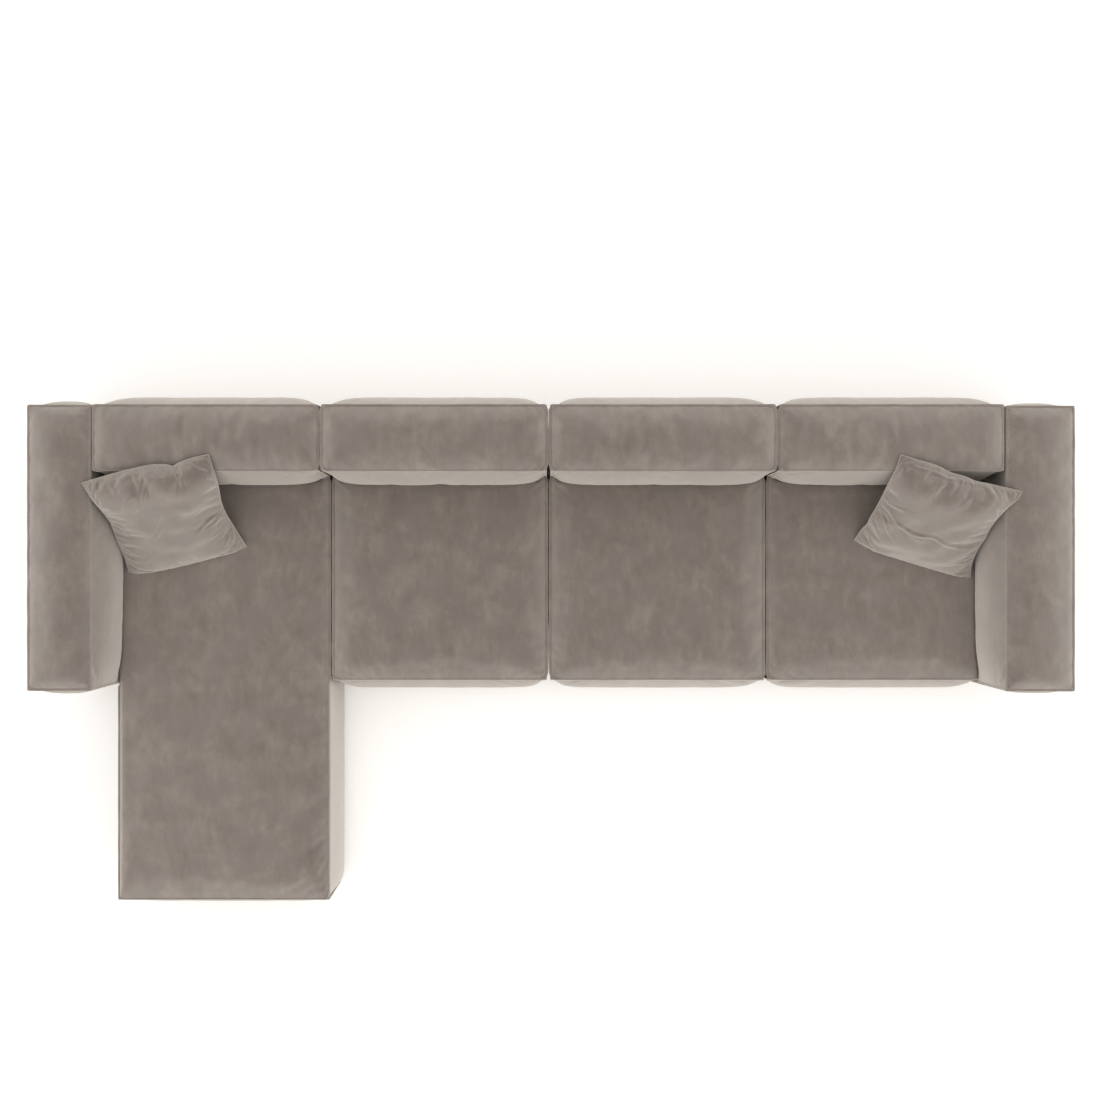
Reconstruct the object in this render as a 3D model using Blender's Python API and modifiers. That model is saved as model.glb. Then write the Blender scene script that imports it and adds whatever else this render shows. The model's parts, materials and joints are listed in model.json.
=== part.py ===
"""A modular corner sofa: a chaise, three seats, two arms and two throw pillows.

Inside the covers are the timber frames, webbing and foam, and under them the skids and hook plates.
Metres, +Z up, the sofa's front towards -Y. The origin is on the floor, under the middle of the whole sofa.
The back line is the front top seam of the back blocks: every depth is measured from it.
"""

import math
from dataclasses import dataclass

import bmesh
import bpy
from mathutils import Vector
from mathutils.bvhtree import BVHTree

# The row of modules: a chaise at the left, then the seats
SEAT_COUNT = 3
MODULE_PITCH = 0.900
MODULE_INSET = 0.006
SEAT_REACH = 0.8505
CHAISE_REACH = 1.7625

# Heights of the seams above the floor
UNDERSIDE = 0.030
SEAT_SEAM = 0.400
TOP_SEAM = 0.735

# Back and arm blocks
BACK_THICKNESS = 0.2575
ARM_THICKNESS = 0.258
ARM_LENGTH = 1.112
ARM_SETBACK = 0.0045
BACK_END_GAP = 0.015
PANEL_LEAN = 0.018

# How far the padded faces swell past their seams
SEAT_CROWN = 0.026
PANEL_CROWN = 0.022
SEAT_FRONT_BULGE = 0.045
CHAISE_FRONT_BULGE = 0.040
NEIGHBOUR_BULGE = 0.004
PRESSED_BULGE = 0.001
PANEL_INNER_BULGE = 0.046
BACK_OUTER_BULGE = 0.051
ARM_OUTER_BULGE = 0.045
ARM_END_BULGE = 0.035
BULGE_PEAK_ABOVE_SEAT = 0.095
ARM_BULGE_FADE = 0.200

# How square each swell is: a high number stays full close to the seam
CROWN_FULLNESS = 8.0
PANEL_CROWN_FULLNESS = 3.5
FACE_FULLNESS = 5.0
HEIGHT_FULLNESS = 2.4
EDGE_CROWDING = 0.6
COVER_SMOOTH_DEG = 40.0
PILLOW_SMOOTH_DEG = 50.0

# How finely the padded faces are cut: cells across a seat, along a seat of normal depth, up a seat,
# across and along a back or arm block, and both ways over a pillow
SEAT_CELLS = (10, 10, 4)
CHAISE_EXTRA_CELLS = 5
PANEL_CELLS = (10, 4)
PILLOW_CELLS = (12, 12)

# Where a back or arm block is cut across, from -1 to 1: beside the seat, and over the upper part of its swell
PRESSED_CUTS = (-0.5, 0.2)
SWELL_CUTS = (-0.4, 0.2, 0.7)

# Padding between a cover's seams and the hollow for its frame and foam
COVER_WALL = 0.030
COVER_TOP = 0.028

# Gaps
FIT = 0.0003
SOFT_GAP = 0.002
HOOK_CLEARANCE = 0.0005
PILLOW_GAP = 0.0005

# Timber frames
RAIL_WIDTH = 0.040
BASE_RAIL_HEIGHT = 0.110
CROSS_RAIL_DROP = 0.025
PANEL_FRAME_THICKNESS = 0.045
PANEL_FOAM_CAP = 0.060
CORNER_BLOCK = 0.045
LARGEST_BAY = 0.380

# Webbing
STRAP_WIDTH = 0.060
STRAP_THICKNESS = 0.003
STRAP_PITCH = 0.165

# Skids
SKID_WIDTH = 0.040
SKID_INSET = 0.140
SKID_FRONT_SETBACK = 0.070
SKID_CHAMFER = 0.006
SKID_TO_PLATE = 0.010

# Hook plates
PLATE_THICKNESS = 0.003
PLATE_LENGTH = 0.160
PLATE_BEARING = 0.034
HOOK_DROP = 0.012
LIP_HEADROOM = 0.0035
PLATE_SETBACK = 0.450

# Throw pillows
PILLOW_SIDE = 0.500
PILLOW_THICKNESS = 0.120
PILLOW_EDGE = 0.008
PILLOW_DRAWN_IN = 0.018
PILLOW_FULLNESS = 0.55

# How far a cutter runs past what it cuts, and how close two lengths are taken as the same
PAST = 0.010
TOLERANCE = 1e-6

LAST_CELL = SEAT_COUNT
HALF_ROW = (1 + SEAT_COUNT) * MODULE_PITCH / 2
PANEL_FRONT_LOW = PANEL_LEAN + SOFT_GAP
REAR_REACH = BACK_THICKNESS + BACK_OUTER_BULGE
FRONT_REACH = CHAISE_REACH + CHAISE_FRONT_BULGE
BACK_LINE_Y = (FRONT_REACH - REAR_REACH) / 2


@dataclass(frozen=True)
class Module:
    """One module of the row, counted from the left."""

    name: str
    cell: int
    reach: float
    front_bulge: float


@dataclass(frozen=True)
class Pillow:
    """A throw pillow's place, measured from the corner where the arm's and the backs' seams meet."""

    name: str
    side: int
    from_arm: float
    from_back: float
    turned_deg: float
    tilted_deg: float


@dataclass(frozen=True)
class Finish:
    """A finish: its sRGB colour, roughness and metallic value."""

    name: str
    colour: str
    roughness: float
    metallic: float = 0.0


CHAISE = Module("chaise", 0, CHAISE_REACH, CHAISE_FRONT_BULGE)
SEATS = [Module(f"seat_{n + 1}", n, SEAT_REACH, SEAT_FRONT_BULGE) for n in range(1, SEAT_COUNT + 1)]
MODULES = [CHAISE, *SEATS]
PILLOWS = (
    Pillow("pillow_left", -1, 0.298, 0.195, 11.4, 43.6),
    Pillow("pillow_right", 1, 0.288, 0.205, -16.9, 45.0),
)

VELVET = Finish("taupe velvet", "#877D74", 0.95)
PILLOW_VELVET = Finish("pillow velvet", "#94897F", 0.95)
FOAM = Finish("cream foam", "#E4DCC4", 0.9)
TIMBER = Finish("pine", "#C9AA7C", 0.7)
STRAP = Finish("elastic webbing", "#4A463F", 0.85)
STEEL = Finish("zinc plated steel", "#A3A5A6", 0.38, 1.0)
PLASTIC = Finish("black plastic", "#1D1D1E", 0.5)


def clear_scene():
    """Remove what the file opened with."""
    for obj in list(bpy.data.objects):
        bpy.data.objects.remove(obj, do_unlink=True)


def new_collection(name):
    """A collection in the scene."""
    collection = bpy.data.collections.new(name)
    bpy.context.scene.collection.children.link(collection)
    return collection


def linear_colour(hex_colour):
    """An sRGB hex colour as linear RGBA."""
    channels = [int(hex_colour[i : i + 2], 16) / 255 for i in (1, 3, 5)]
    linear = [c / 12.92 if c <= 0.04045 else ((c + 0.055) / 1.055) ** 2.4 for c in channels]
    return (*linear, 1.0)


def finish_material(finish):
    """The Principled material of a finish, made once."""
    material = bpy.data.materials.get(finish.name)
    if material:
        return material
    material = bpy.data.materials.new(finish.name)
    material.use_nodes = True
    shader = material.node_tree.nodes["Principled BSDF"]
    shader.inputs["Base Color"].default_value = linear_colour(finish.colour)
    shader.inputs["Roughness"].default_value = finish.roughness
    shader.inputs["Metallic"].default_value = finish.metallic
    material.diffuse_color = linear_colour(finish.colour)
    return material


def add_empty(name, location, turned=0.0):
    """An empty that carries a block's pieces, placed on the floor."""
    empty = bpy.data.objects.new(name, None)
    empty.location = location
    empty.rotation_euler = (0, 0, turned)
    parts.objects.link(empty)
    return empty


def add_part(name, data, finish, parent=None, location=(0, 0, 0)):
    """One sub-part: a named object with its finish, placed in its parent's frame."""
    obj = bpy.data.objects.new(name, data)
    obj.location = location
    obj.parent = parent
    data.materials.append(finish_material(finish))
    parts.objects.link(obj)
    return obj


def add_cutter(name, mesh, parent):
    """A mesh that is only cut away from others."""
    obj = bpy.data.objects.new(name, mesh)
    obj.parent = parent
    obj.hide_render = True
    obj.display_type = "WIRE"
    cutters.objects.link(obj)
    return obj


def cut(obj, cutter):
    """Take the cutter away from the object."""
    modifier = obj.modifiers.new("cut by " + cutter.name, "BOOLEAN")
    modifier.operation = "DIFFERENCE"
    modifier.solver = "EXACT"
    modifier.object = cutter


def mesh_from(bm, name, smooth_below_deg=None):
    """Finish a bmesh as a mesh, with faces outward."""
    bmesh.ops.recalc_face_normals(bm, faces=bm.faces)
    mesh = bpy.data.meshes.new(name)
    bm.to_mesh(mesh)
    bm.free()
    if smooth_below_deg:
        mesh.shade_smooth()
        mesh.set_sharp_from_angle(angle=math.radians(smooth_below_deg))
    return mesh


def add_box(bm, low, high):
    """A box between two corners. Returns its vertices."""
    low, high = Vector(low), Vector(high)
    verts = bmesh.ops.create_cube(bm, size=1.0)["verts"]
    bmesh.ops.scale(bm, vec=high - low, verts=verts)
    bmesh.ops.translate(bm, vec=(low + high) / 2, verts=verts)
    return verts


def box_mesh(name, low, high):
    """A box between two corners, as a mesh."""
    bm = bmesh.new()
    add_box(bm, low, high)
    return mesh_from(bm, name)


def crowded(cells):
    """Cut places between -1 and 1, closer together towards the edges."""
    even = [2 * step / cells - 1 for step in range(1, cells)]
    return [(1 - EDGE_CROWDING) * t + EDGE_CROWDING * math.sin(math.pi * t / 2) for t in even]


def shaped_block(name, places, shape, smooth_below_deg):
    """A cube cut at the given places along X, Y and Z, whose points are then moved by a formula."""
    bm = bmesh.new()
    bmesh.ops.create_cube(bm, size=2.0)
    for axis, cuts in enumerate(places):
        normal = Vector([float(i == axis) for i in range(3)])
        for place in cuts:
            everything = bm.verts[:] + bm.edges[:] + bm.faces[:]
            plane = normal * place
            bmesh.ops.bisect_plane(bm, geom=everything, dist=TOLERANCE, plane_co=plane, plane_no=normal)
    for vert in bm.verts:
        vert.co = shape(*vert.co)
    return mesh_from(bm, name, smooth_below_deg)


def hump(t, fullness):
    """1 in the middle of a face, 0 at its seams."""
    return max(0.0, 1 - abs(t) ** fullness)


def eased(t):
    """0 to 1 with soft ends."""
    t = min(1.0, max(0.0, t))
    return t * t * (3 - 2 * t)


def between(low, high, t):
    """The value at t, where t runs from -1 at low to 1 at high."""
    return low + (high - low) * (t + 1) / 2


def at_face(t, side):
    """Whether a point of the cube lies on the face at this side."""
    return abs(t - side) < TOLERANCE


def module_edges(module, end_gap):
    """Left and right seams of a module's block, where end_gap keeps it off the arm."""
    left_gap = end_gap if module.cell == 0 else MODULE_INSET
    right_gap = end_gap if module.cell == LAST_CELL else MODULE_INSET
    left = -HALF_ROW + module.cell * MODULE_PITCH
    return left + left_gap, left + MODULE_PITCH - right_gap


def seat_cover_mesh(module, left, right, rear):
    """The seat's cover: crowned on top, swelling at its front, pressed flat by the back block."""
    left_bulge = PRESSED_BULGE if module.cell == 0 else NEIGHBOUR_BULGE
    right_bulge = PRESSED_BULGE if module.cell == LAST_CELL else NEIGHBOUR_BULGE

    def shape(u, v, w):
        x = between(left, right, u)
        y = between(-module.reach, rear, v)
        z = between(UNDERSIDE, SEAT_SEAM, w)
        tall = hump(w, HEIGHT_FULLNESS)
        if at_face(w, 1):
            z += SEAT_CROWN * hump(u, CROWN_FULLNESS) * hump(v, CROWN_FULLNESS)
        if at_face(v, -1):
            y -= module.front_bulge * tall * hump(u, FACE_FULLNESS)
        if at_face(u, -1):
            x -= left_bulge * tall * hump(v, FACE_FULLNESS)
        if at_face(u, 1):
            x += right_bulge * tall * hump(v, FACE_FULLNESS)
        return x, y, z

    across, deep, tall_cells = SEAT_CELLS
    if module is CHAISE:
        deep += CHAISE_EXTRA_CELLS
    places = (crowded(across), crowded(deep), crowded(tall_cells))
    return shaped_block(module.name + "_cover", places, shape, COVER_SMOOTH_DEG)


def bay_edges(low, high):
    """Equal bays between rails, none wider than the largest bay."""
    inner = high - low - 2 * RAIL_WIDTH
    count = max(1, math.ceil((inner + RAIL_WIDTH) / (LARGEST_BAY + RAIL_WIDTH)))
    bay = (inner - (count - 1) * RAIL_WIDTH) / count
    starts = [low + RAIL_WIDTH + i * (bay + RAIL_WIDTH) for i in range(count)]
    return [(start, start + bay) for start in starts]


def bay_cutter(name, parent, columns, rows, through, stand_up):
    """Boxes with cut-off corners, one for each bay. They run along Z, or along Y in a frame that stands."""
    start, end = through[0] - PAST, through[1] + PAST
    bm = bmesh.new()
    axis = 1 if stand_up else 2
    for a_low, a_high in columns:
        for b_low, b_high in rows:
            if stand_up:
                add_box(bm, (a_low, start, b_low), (a_high, end, b_high))
            else:
                add_box(bm, (a_low, b_low, start), (a_high, b_high, end))
    corners = []
    for edge in bm.edges:
        run = edge.verts[0].co - edge.verts[1].co
        if abs(run[axis]) > run.length - TOLERANCE:
            corners.append(edge)
    bmesh.ops.bevel(bm, geom=corners, offset=CORNER_BLOCK, segments=1, affect="EDGES")
    return add_cutter(name, mesh_from(bm, name), parent)


def add_base_frame(module, parent, low, high):
    """Timber rails round the base, cross rails set lower so that the webbing can give, and corner blocks."""
    name = module.name + "_base_frame"
    top = UNDERSIDE + BASE_RAIL_HEIGHT
    frame = add_part(name, box_mesh(name, (*low, UNDERSIDE), (*high, top)), TIMBER, parent)
    columns, rows = bay_edges(low[0], high[0]), bay_edges(low[1], high[1])
    cut(frame, bay_cutter(name + "_bays", parent, columns, rows, (UNDERSIDE, top), stand_up=False))
    well_low = (low[0] + RAIL_WIDTH, low[1] + RAIL_WIDTH, top - CROSS_RAIL_DROP)
    well_high = (high[0] - RAIL_WIDTH, high[1] - RAIL_WIDTH, top + PAST)
    cut(frame, add_cutter(name + "_well", box_mesh(name + "_well", well_low, well_high), parent))
    return top


def add_webbing(module, parent, low, high, z):
    """Straps both ways over the base frame, as one sheet with square gaps."""
    name = module.name + "_webbing"
    spans = [high[i] - low[i] for i in range(2)]
    straps = [max(2, round((span - STRAP_WIDTH) / STRAP_PITCH) + 1) for span in spans]
    bm = bmesh.new()
    bmesh.ops.create_grid(bm, x_segments=2 * straps[0] - 1, y_segments=2 * straps[1] - 1, size=1.0)
    lines = []
    for axis in range(2):
        pitch = (spans[axis] - STRAP_WIDTH) / (straps[axis] - 1)
        starts = [low[axis] + i * pitch for i in range(straps[axis])]
        lines.append([start + side for start in starts for side in (0, STRAP_WIDTH)])
    places = [sorted({round(v.co[axis], 5) for v in bm.verts}) for axis in range(2)]
    gaps = []
    for face in bm.faces:
        middle = face.calc_center_median()
        cell = [sum(place < middle[axis] for place in places[axis]) - 1 for axis in range(2)]
        if cell[0] % 2 and cell[1] % 2:
            gaps.append(face)
    bmesh.ops.delete(bm, geom=gaps, context="FACES")
    for vert in bm.verts:
        vert.co = [lines[axis][places[axis].index(round(vert.co[axis], 5))] for axis in range(2)] + [z]
    webbing = add_part(name, mesh_from(bm, name), STRAP, parent)
    thickness = webbing.modifiers.new("strap thickness", "SOLIDIFY")
    thickness.thickness = STRAP_THICKNESS
    thickness.offset = 1.0
    return z + STRAP_THICKNESS


def add_seat(module, parent):
    """A module's seat block: cover, base frame, webbing and foam. Returns the frame's corners in plan."""
    left, right = (x - parent.location.x for x in module_edges(module, PANEL_FRONT_LOW))
    rear = -PANEL_FRONT_LOW
    mesh = seat_cover_mesh(module, left, right, rear)
    cover = add_part(module.name + "_cover", mesh, VELVET, parent)
    hollow_low = (left + COVER_WALL, -module.reach + COVER_WALL, 0)
    hollow_high = (right - COVER_WALL, rear - COVER_WALL, SEAT_SEAM - COVER_TOP)
    name = cover.name + "_hollow"
    cut(cover, add_cutter(name, box_mesh(name, hollow_low, hollow_high), parent))
    low = [hollow_low[0] + FIT, hollow_low[1] + FIT]
    high = [hollow_high[0] - FIT, hollow_high[1] - FIT]
    frame_top = add_base_frame(module, parent, low, high)
    webbing_top = add_webbing(module, parent, low, high, frame_top + FIT)
    name = module.name + "_foam"
    foam = box_mesh(name, (*low, webbing_top + FIT), (*high, hollow_high[2] - FIT))
    add_part(name, foam, FOAM, parent)
    return low, high


def panel_cover_mesh(name, left, right, thickness, bulges, fade):
    """A back's or an arm's cover. Its inner face, at y = 0, is straight beside the seat and swells above it.

    bulges holds the swell of the outer face and of the two ends. fade(x) is 1 where the inner face is free
    and 0 where another block stands against it.
    """
    contact = SEAT_SEAM + SOFT_GAP
    peak = SEAT_SEAM + BULGE_PEAK_ABOVE_SEAT
    middle = (UNDERSIDE + TOP_SEAM) / 2
    heights = [between(UNDERSIDE, contact, t) for t in PRESSED_CUTS]
    heights += [contact, (contact + peak) / 2, peak]
    heights += [between(peak, TOP_SEAM, t) for t in SWELL_CUTS]
    places = sorted(2 * (h - middle) / (TOP_SEAM - UNDERSIDE) for h in heights)

    def inner_swell(z):
        if z <= contact:
            return 0.0
        if z < peak:
            return eased((z - contact) / (peak - contact))
        return hump((z - peak) / (TOP_SEAM - peak), HEIGHT_FULLNESS)

    def shape(u, v, w):
        x = between(left, right, u)
        z = between(UNDERSIDE, TOP_SEAM, w)
        straight = min(1.0, (TOP_SEAM - z) / (TOP_SEAM - contact))
        inner = -PANEL_LEAN * straight * fade(x)
        y = between(inner, thickness, v)
        tall = hump(w, HEIGHT_FULLNESS)
        along = hump(u, FACE_FULLNESS)
        across = hump(v, PANEL_CROWN_FULLNESS)
        if at_face(w, 1):
            z += PANEL_CROWN * hump(u, CROWN_FULLNESS) * across
        if at_face(v, -1):
            y -= (PANEL_INNER_BULGE - PANEL_LEAN * straight) * inner_swell(z) * along * fade(x)
        if at_face(v, 1):
            y += bulges["outer"] * tall * along
        if at_face(u, -1):
            x -= bulges["left"] * tall * across
        if at_face(u, 1):
            x += bulges["right"] * tall * across
        return x, y, z

    long_cells, thick_cells = PANEL_CELLS
    return shaped_block(name, (crowded(long_cells), crowded(thick_cells), places), shape, COVER_SMOOTH_DEG)


def add_panel(name, parent, left, right, thickness, bulges, frame_setback, fade):
    """A back or arm block: cover, ladder frame and the foam round it. Returns two corners of the frame."""
    cover_name = name + "_cover"
    mesh = panel_cover_mesh(cover_name, left, right, thickness, bulges, fade)
    cover = add_part(cover_name, mesh, VELVET, parent)
    hollow_low = (left + COVER_WALL, COVER_WALL, 0)
    hollow_high = (right - COVER_WALL, thickness - COVER_WALL, TOP_SEAM - COVER_TOP)
    hollow = cover_name + "_hollow"
    cut(cover, add_cutter(hollow, box_mesh(hollow, hollow_low, hollow_high), parent))

    frame_rear = hollow_high[1] - FIT - frame_setback
    frame_high = (hollow_high[0] - FIT, frame_rear, hollow_high[2] - PANEL_FOAM_CAP)
    frame_low = (hollow_low[0] + FIT, frame_rear - PANEL_FRAME_THICKNESS, UNDERSIDE)
    frame_name = name + "_frame"
    frame = add_part(frame_name, box_mesh(frame_name, frame_low, frame_high), TIMBER, parent)
    columns, rows = bay_edges(frame_low[0], frame_high[0]), bay_edges(frame_low[2], frame_high[2])
    through = (frame_low[1], frame_high[1])
    cut(frame, bay_cutter(frame_name + "_bays", parent, columns, rows, through, stand_up=True))

    foam_low = (hollow_low[0] + FIT, hollow_low[1] + FIT, UNDERSIDE)
    foam_high = tuple(value - FIT for value in hollow_high)
    foam_name = name + "_foam"
    foam = add_part(foam_name, box_mesh(foam_name, foam_low, foam_high), FOAM, parent)
    rear_side = frame_high[1] + FIT if frame_setback else foam_high[1] + PAST
    slot_low = (foam_low[0] - PAST, frame_low[1] - FIT, UNDERSIDE - PAST)
    slot_high = (foam_high[0] + PAST, rear_side, frame_high[2] + FIT)
    slot = foam_name + "_slot"
    cut(foam, add_cutter(slot, box_mesh(slot, slot_low, slot_high), parent))
    return frame_low, frame_high


def add_skid(name, parent, low, high):
    """A runner on the floor between two corners in plan, with its lower edges chamfered."""
    bm = bmesh.new()
    add_box(bm, (*low, 0), (*high, UNDERSIDE - FIT))
    lower = [edge for edge in bm.edges if all(vert.co.z < SKID_CHAMFER for vert in edge.verts)]
    bmesh.ops.bevel(bm, geom=lower, offset=SKID_CHAMFER, segments=1, affect="EDGES")
    return add_part(name, mesh_from(bm, name), PLASTIC, parent)


def add_plate(name, outline, parent, place, outward):
    """A folded steel plate: its outline in X and Z, measured from its place, drawn out along Y."""
    curve = bpy.data.curves.new(name, "CURVE")
    curve.dimensions = "2D"
    curve.fill_mode = "BOTH"
    curve.extrude = PLATE_LENGTH / 2
    spline = curve.splines.new("POLY")
    spline.points.add(len(outline) - 1)
    for point, (x, z) in zip(spline.points, outline):
        point.co = (outward * x, z, 0, 1)
    spline.use_cyclic_u = True
    plate = add_part(name, curve, STEEL, parent, parent.matrix_basis.inverted() @ place)
    plate.rotation_euler = (math.pi / 2, 0, -parent.rotation_euler.z)
    return plate


def add_hook_pair(boundary, outward, carrier, hung, carrier_reach, hung_reach):
    """A socket plate under the carrier's frame and the hook plate of the block that hangs on it.

    The socket steps down at the boundary and turns up again into a lip. The hook's lip drops in behind it,
    so the blocks can't part until one is lifted. outward is 1 where the hung block is on the right.
    """
    top = UNDERSIDE - FIT
    plate_under = top - PLATE_THICKNESS
    trough = top - HOOK_DROP
    lip_top = plate_under - LIP_HEADROOM
    step = -HOOK_CLEARANCE
    lip = PLATE_THICKNESS + HOOK_CLEARANCE
    socket = (
        (-carrier_reach, top),
        (step, top),
        (step, trough),
        (lip, trough),
        (lip, lip_top),
        (lip + PLATE_THICKNESS, lip_top),
        (lip + PLATE_THICKNESS, trough - PLATE_THICKNESS),
        (step - PLATE_THICKNESS, trough - PLATE_THICKNESS),
        (step - PLATE_THICKNESS, plate_under),
        (-carrier_reach, plate_under),
    )
    hook = (
        (0, top),
        (hung_reach, top),
        (hung_reach, plate_under),
        (PLATE_THICKNESS, plate_under),
        (PLATE_THICKNESS, trough + HOOK_CLEARANCE),
        (0, trough + HOOK_CLEARANCE),
    )
    carrier_name, hung_name = (block.name.removesuffix("_place") for block in (carrier, hung))
    socket_name = carrier_name + ("_socket_right" if outward > 0 else "_socket_left")
    hook_name = hung_name + ("_hook" if hung_name.startswith("arm") else "_hook_left")
    place = Vector((boundary, BACK_LINE_Y - PLATE_SETBACK, 0))
    add_plate(socket_name, socket, carrier, place, outward)
    add_plate(hook_name, hook, hung, place, outward)


def add_module(module):
    """A whole module: seat block, back block and two skids, carried by one empty on the back line."""
    middle = -HALF_ROW + (module.cell + 0.5) * MODULE_PITCH
    place = add_empty(module.name + "_place", (middle, BACK_LINE_Y, 0))
    seat_low, seat_high = add_seat(module, place)
    left, right = (x - middle for x in module_edges(module, BACK_END_GAP))
    bulges = {"outer": BACK_OUTER_BULGE, "left": NEIGHBOUR_BULGE, "right": NEIGHBOUR_BULGE}
    name = module.name + "_back"
    _, back_high = add_panel(name, place, left, right, BACK_THICKNESS, bulges, 0, lambda x: 1.0)
    front = -module.reach + SKID_FRONT_SETBACK
    for side, x in (("left", seat_low[0] + SKID_INSET), ("right", seat_high[0] - SKID_INSET)):
        low, high = (x - SKID_WIDTH / 2, front), (x + SKID_WIDTH / 2, back_high[1])
        add_skid(f"{module.name}_skid_{side}", place, low, high)
    return place


def add_arm(name, side):
    """An arm block beside the end module, its inner face inwards. side is -1 on the left, 1 on the right."""
    rear = BACK_LINE_Y + BACK_THICKNESS - ARM_SETBACK
    location = (side * HALF_ROW, rear - ARM_LENGTH / 2, 0)
    place = add_empty(name + "_place", location, turned=-side * math.pi / 2)
    half = ARM_LENGTH / 2
    back_stands = half - (BACK_THICKNESS - ARM_SETBACK) - PANEL_FRONT_LOW

    def fade(x):
        towards_rear = -side * x
        return eased((back_stands - towards_rear) / ARM_BULGE_FADE)

    bulges = {"outer": ARM_OUTER_BULGE, "left": ARM_END_BULGE, "right": ARM_END_BULGE}
    setback = (ARM_THICKNESS - PANEL_FRAME_THICKNESS) / 2 - COVER_WALL
    frame_low, frame_high = add_panel(name, place, -half, half, ARM_THICKNESS, bulges, setback, fade)
    middle = (frame_low[1] + frame_high[1]) / 2
    y_low, y_high = middle - SKID_WIDTH / 2, middle + SKID_WIDTH / 2
    far = half - SKID_FRONT_SETBACK
    plate = location[1] - BACK_LINE_Y + PLATE_SETBACK
    clear = PLATE_LENGTH / 2 + SKID_TO_PLATE
    for end, span in (("front", (plate + clear, far)), ("rear", (-far, plate - clear))):
        x_low, x_high = sorted(side * forward for forward in span)
        add_skid(f"{name}_skid_{end}", place, (x_low, y_low), (x_high, y_high))
    return place


def pillow_mesh(name):
    """A square throw pillow: thin sewn edges drawn in between the corners, and a full middle."""
    half = PILLOW_SIDE / 2

    def shape(u, v, w):
        x = u * (half - PILLOW_DRAWN_IN * (1 - v * v))
        y = v * (half - PILLOW_DRAWN_IN * (1 - u * u))
        fullness = max(0.0, (1 - u * u) * (1 - v * v)) ** PILLOW_FULLNESS
        return x, y, w * between(PILLOW_EDGE, PILLOW_THICKNESS, 2 * fullness - 1) / 2

    across, along = PILLOW_CELLS
    return shaped_block(name, (crowded(across), crowded(along), ()), shape, PILLOW_SMOOTH_DEG)


def world_mesh(obj, depsgraph):
    """An object's evaluated points and faces, in world coordinates."""
    evaluated = obj.evaluated_get(depsgraph)
    mesh = evaluated.to_mesh()
    points = [evaluated.matrix_world @ vert.co for vert in mesh.vertices]
    faces = [tuple(face.vertices) for face in mesh.polygons]
    evaluated.to_mesh_clear()
    return points, faces


def least_drop(points, faces, other_points, other_faces):
    """How far the first mesh can sink before a point of either meets a face of the other."""
    under, over = BVHTree.FromPolygons(other_points, other_faces), BVHTree.FromPolygons(points, faces)
    down, up = Vector((0, 0, -1)), Vector((0, 0, 1))
    drops = [under.ray_cast(point, down)[3] for point in points]
    drops += [over.ray_cast(point, up)[3] for point in other_points]
    return min((drop for drop in drops if drop), default=0.0)


def resting_drop(points, faces, supports):
    """How far a mesh can sink until it rests on the supports, also where only edges meet."""
    drops = [least_drop(points, faces, *support) for support in supports]
    drop = min(drop for drop in drops if drop > 0)
    trees = [BVHTree.FromPolygons(*support) for support in supports]
    while True:
        sunk = BVHTree.FromPolygons([point - Vector((0, 0, drop)) for point in points], faces)
        if not any(sunk.overlap(tree) for tree in trees):
            return drop - PILLOW_GAP
        drop -= PILLOW_GAP


def add_pillow(pillow, supports):
    """A throw pillow leaning in its corner, lowered from above until it rests on what is under it."""
    obj = add_part(pillow.name, pillow_mesh(pillow.name), PILLOW_VELVET)
    x = pillow.side * (HALF_ROW - pillow.from_arm)
    start = TOP_SEAM + PILLOW_SIDE
    obj.location = (x, BACK_LINE_Y - pillow.from_back, start)
    obj.rotation_euler = (math.radians(pillow.tilted_deg), 0, math.radians(pillow.turned_deg))
    bpy.context.view_layer.update()
    depsgraph = bpy.context.evaluated_depsgraph_get()
    meshes = [world_mesh(support, depsgraph) for support in supports]
    obj.location.z = start - resting_drop(*world_mesh(obj, depsgraph), meshes)
    return obj


def build_sofa():
    """Every block in its place, then the hooks between them and the throw pillows on top."""
    places = [add_module(module) for module in MODULES]
    arms = {-1: add_arm("arm_left", -1), 1: add_arm("arm_right", 1)}
    side_rail = COVER_WALL + FIT + PLATE_BEARING
    for carrier, hung in zip(places, places[1:]):
        boundary = (carrier.location.x + hung.location.x) / 2
        reach = MODULE_INSET + side_rail
        add_hook_pair(boundary, 1, carrier, hung, reach, reach)
    boundary = HALF_ROW - PANEL_LEAN - SOFT_GAP / 2
    arm_frame_far = HALF_ROW + (ARM_THICKNESS + PANEL_FRAME_THICKNESS) / 2
    for side, carrier in ((-1, places[0]), (1, places[-1])):
        add_hook_pair(side * boundary, side, carrier, arms[side], side_rail, arm_frame_far - boundary)
    for pillow in PILLOWS:
        module, arm = (MODULES[0], "arm_left") if pillow.side < 0 else (MODULES[-1], "arm_right")
        names = (module.name + "_cover", module.name + "_back_cover", arm + "_cover")
        add_pillow(pillow, [bpy.data.objects[name] for name in names])


clear_scene()
parts = new_collection("modular_sofa")
cutters = new_collection("cutters")
build_sofa()
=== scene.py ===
"""A modular corner sofa in taupe velvet, dressed over its CAD frame.

Every upholstered block is a sewn velvet cover with flat welts along its seams. Two throw pillows lean in the
corners. Under the covers are foam, webbing, pine frames, black skids and zinc plated hook plates.
Metres, +Z up, the sofa's front towards -Y.
"""

import json
import logging
import math
from dataclasses import dataclass, field, replace
from enum import Enum
from typing import Any, Callable

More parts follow.
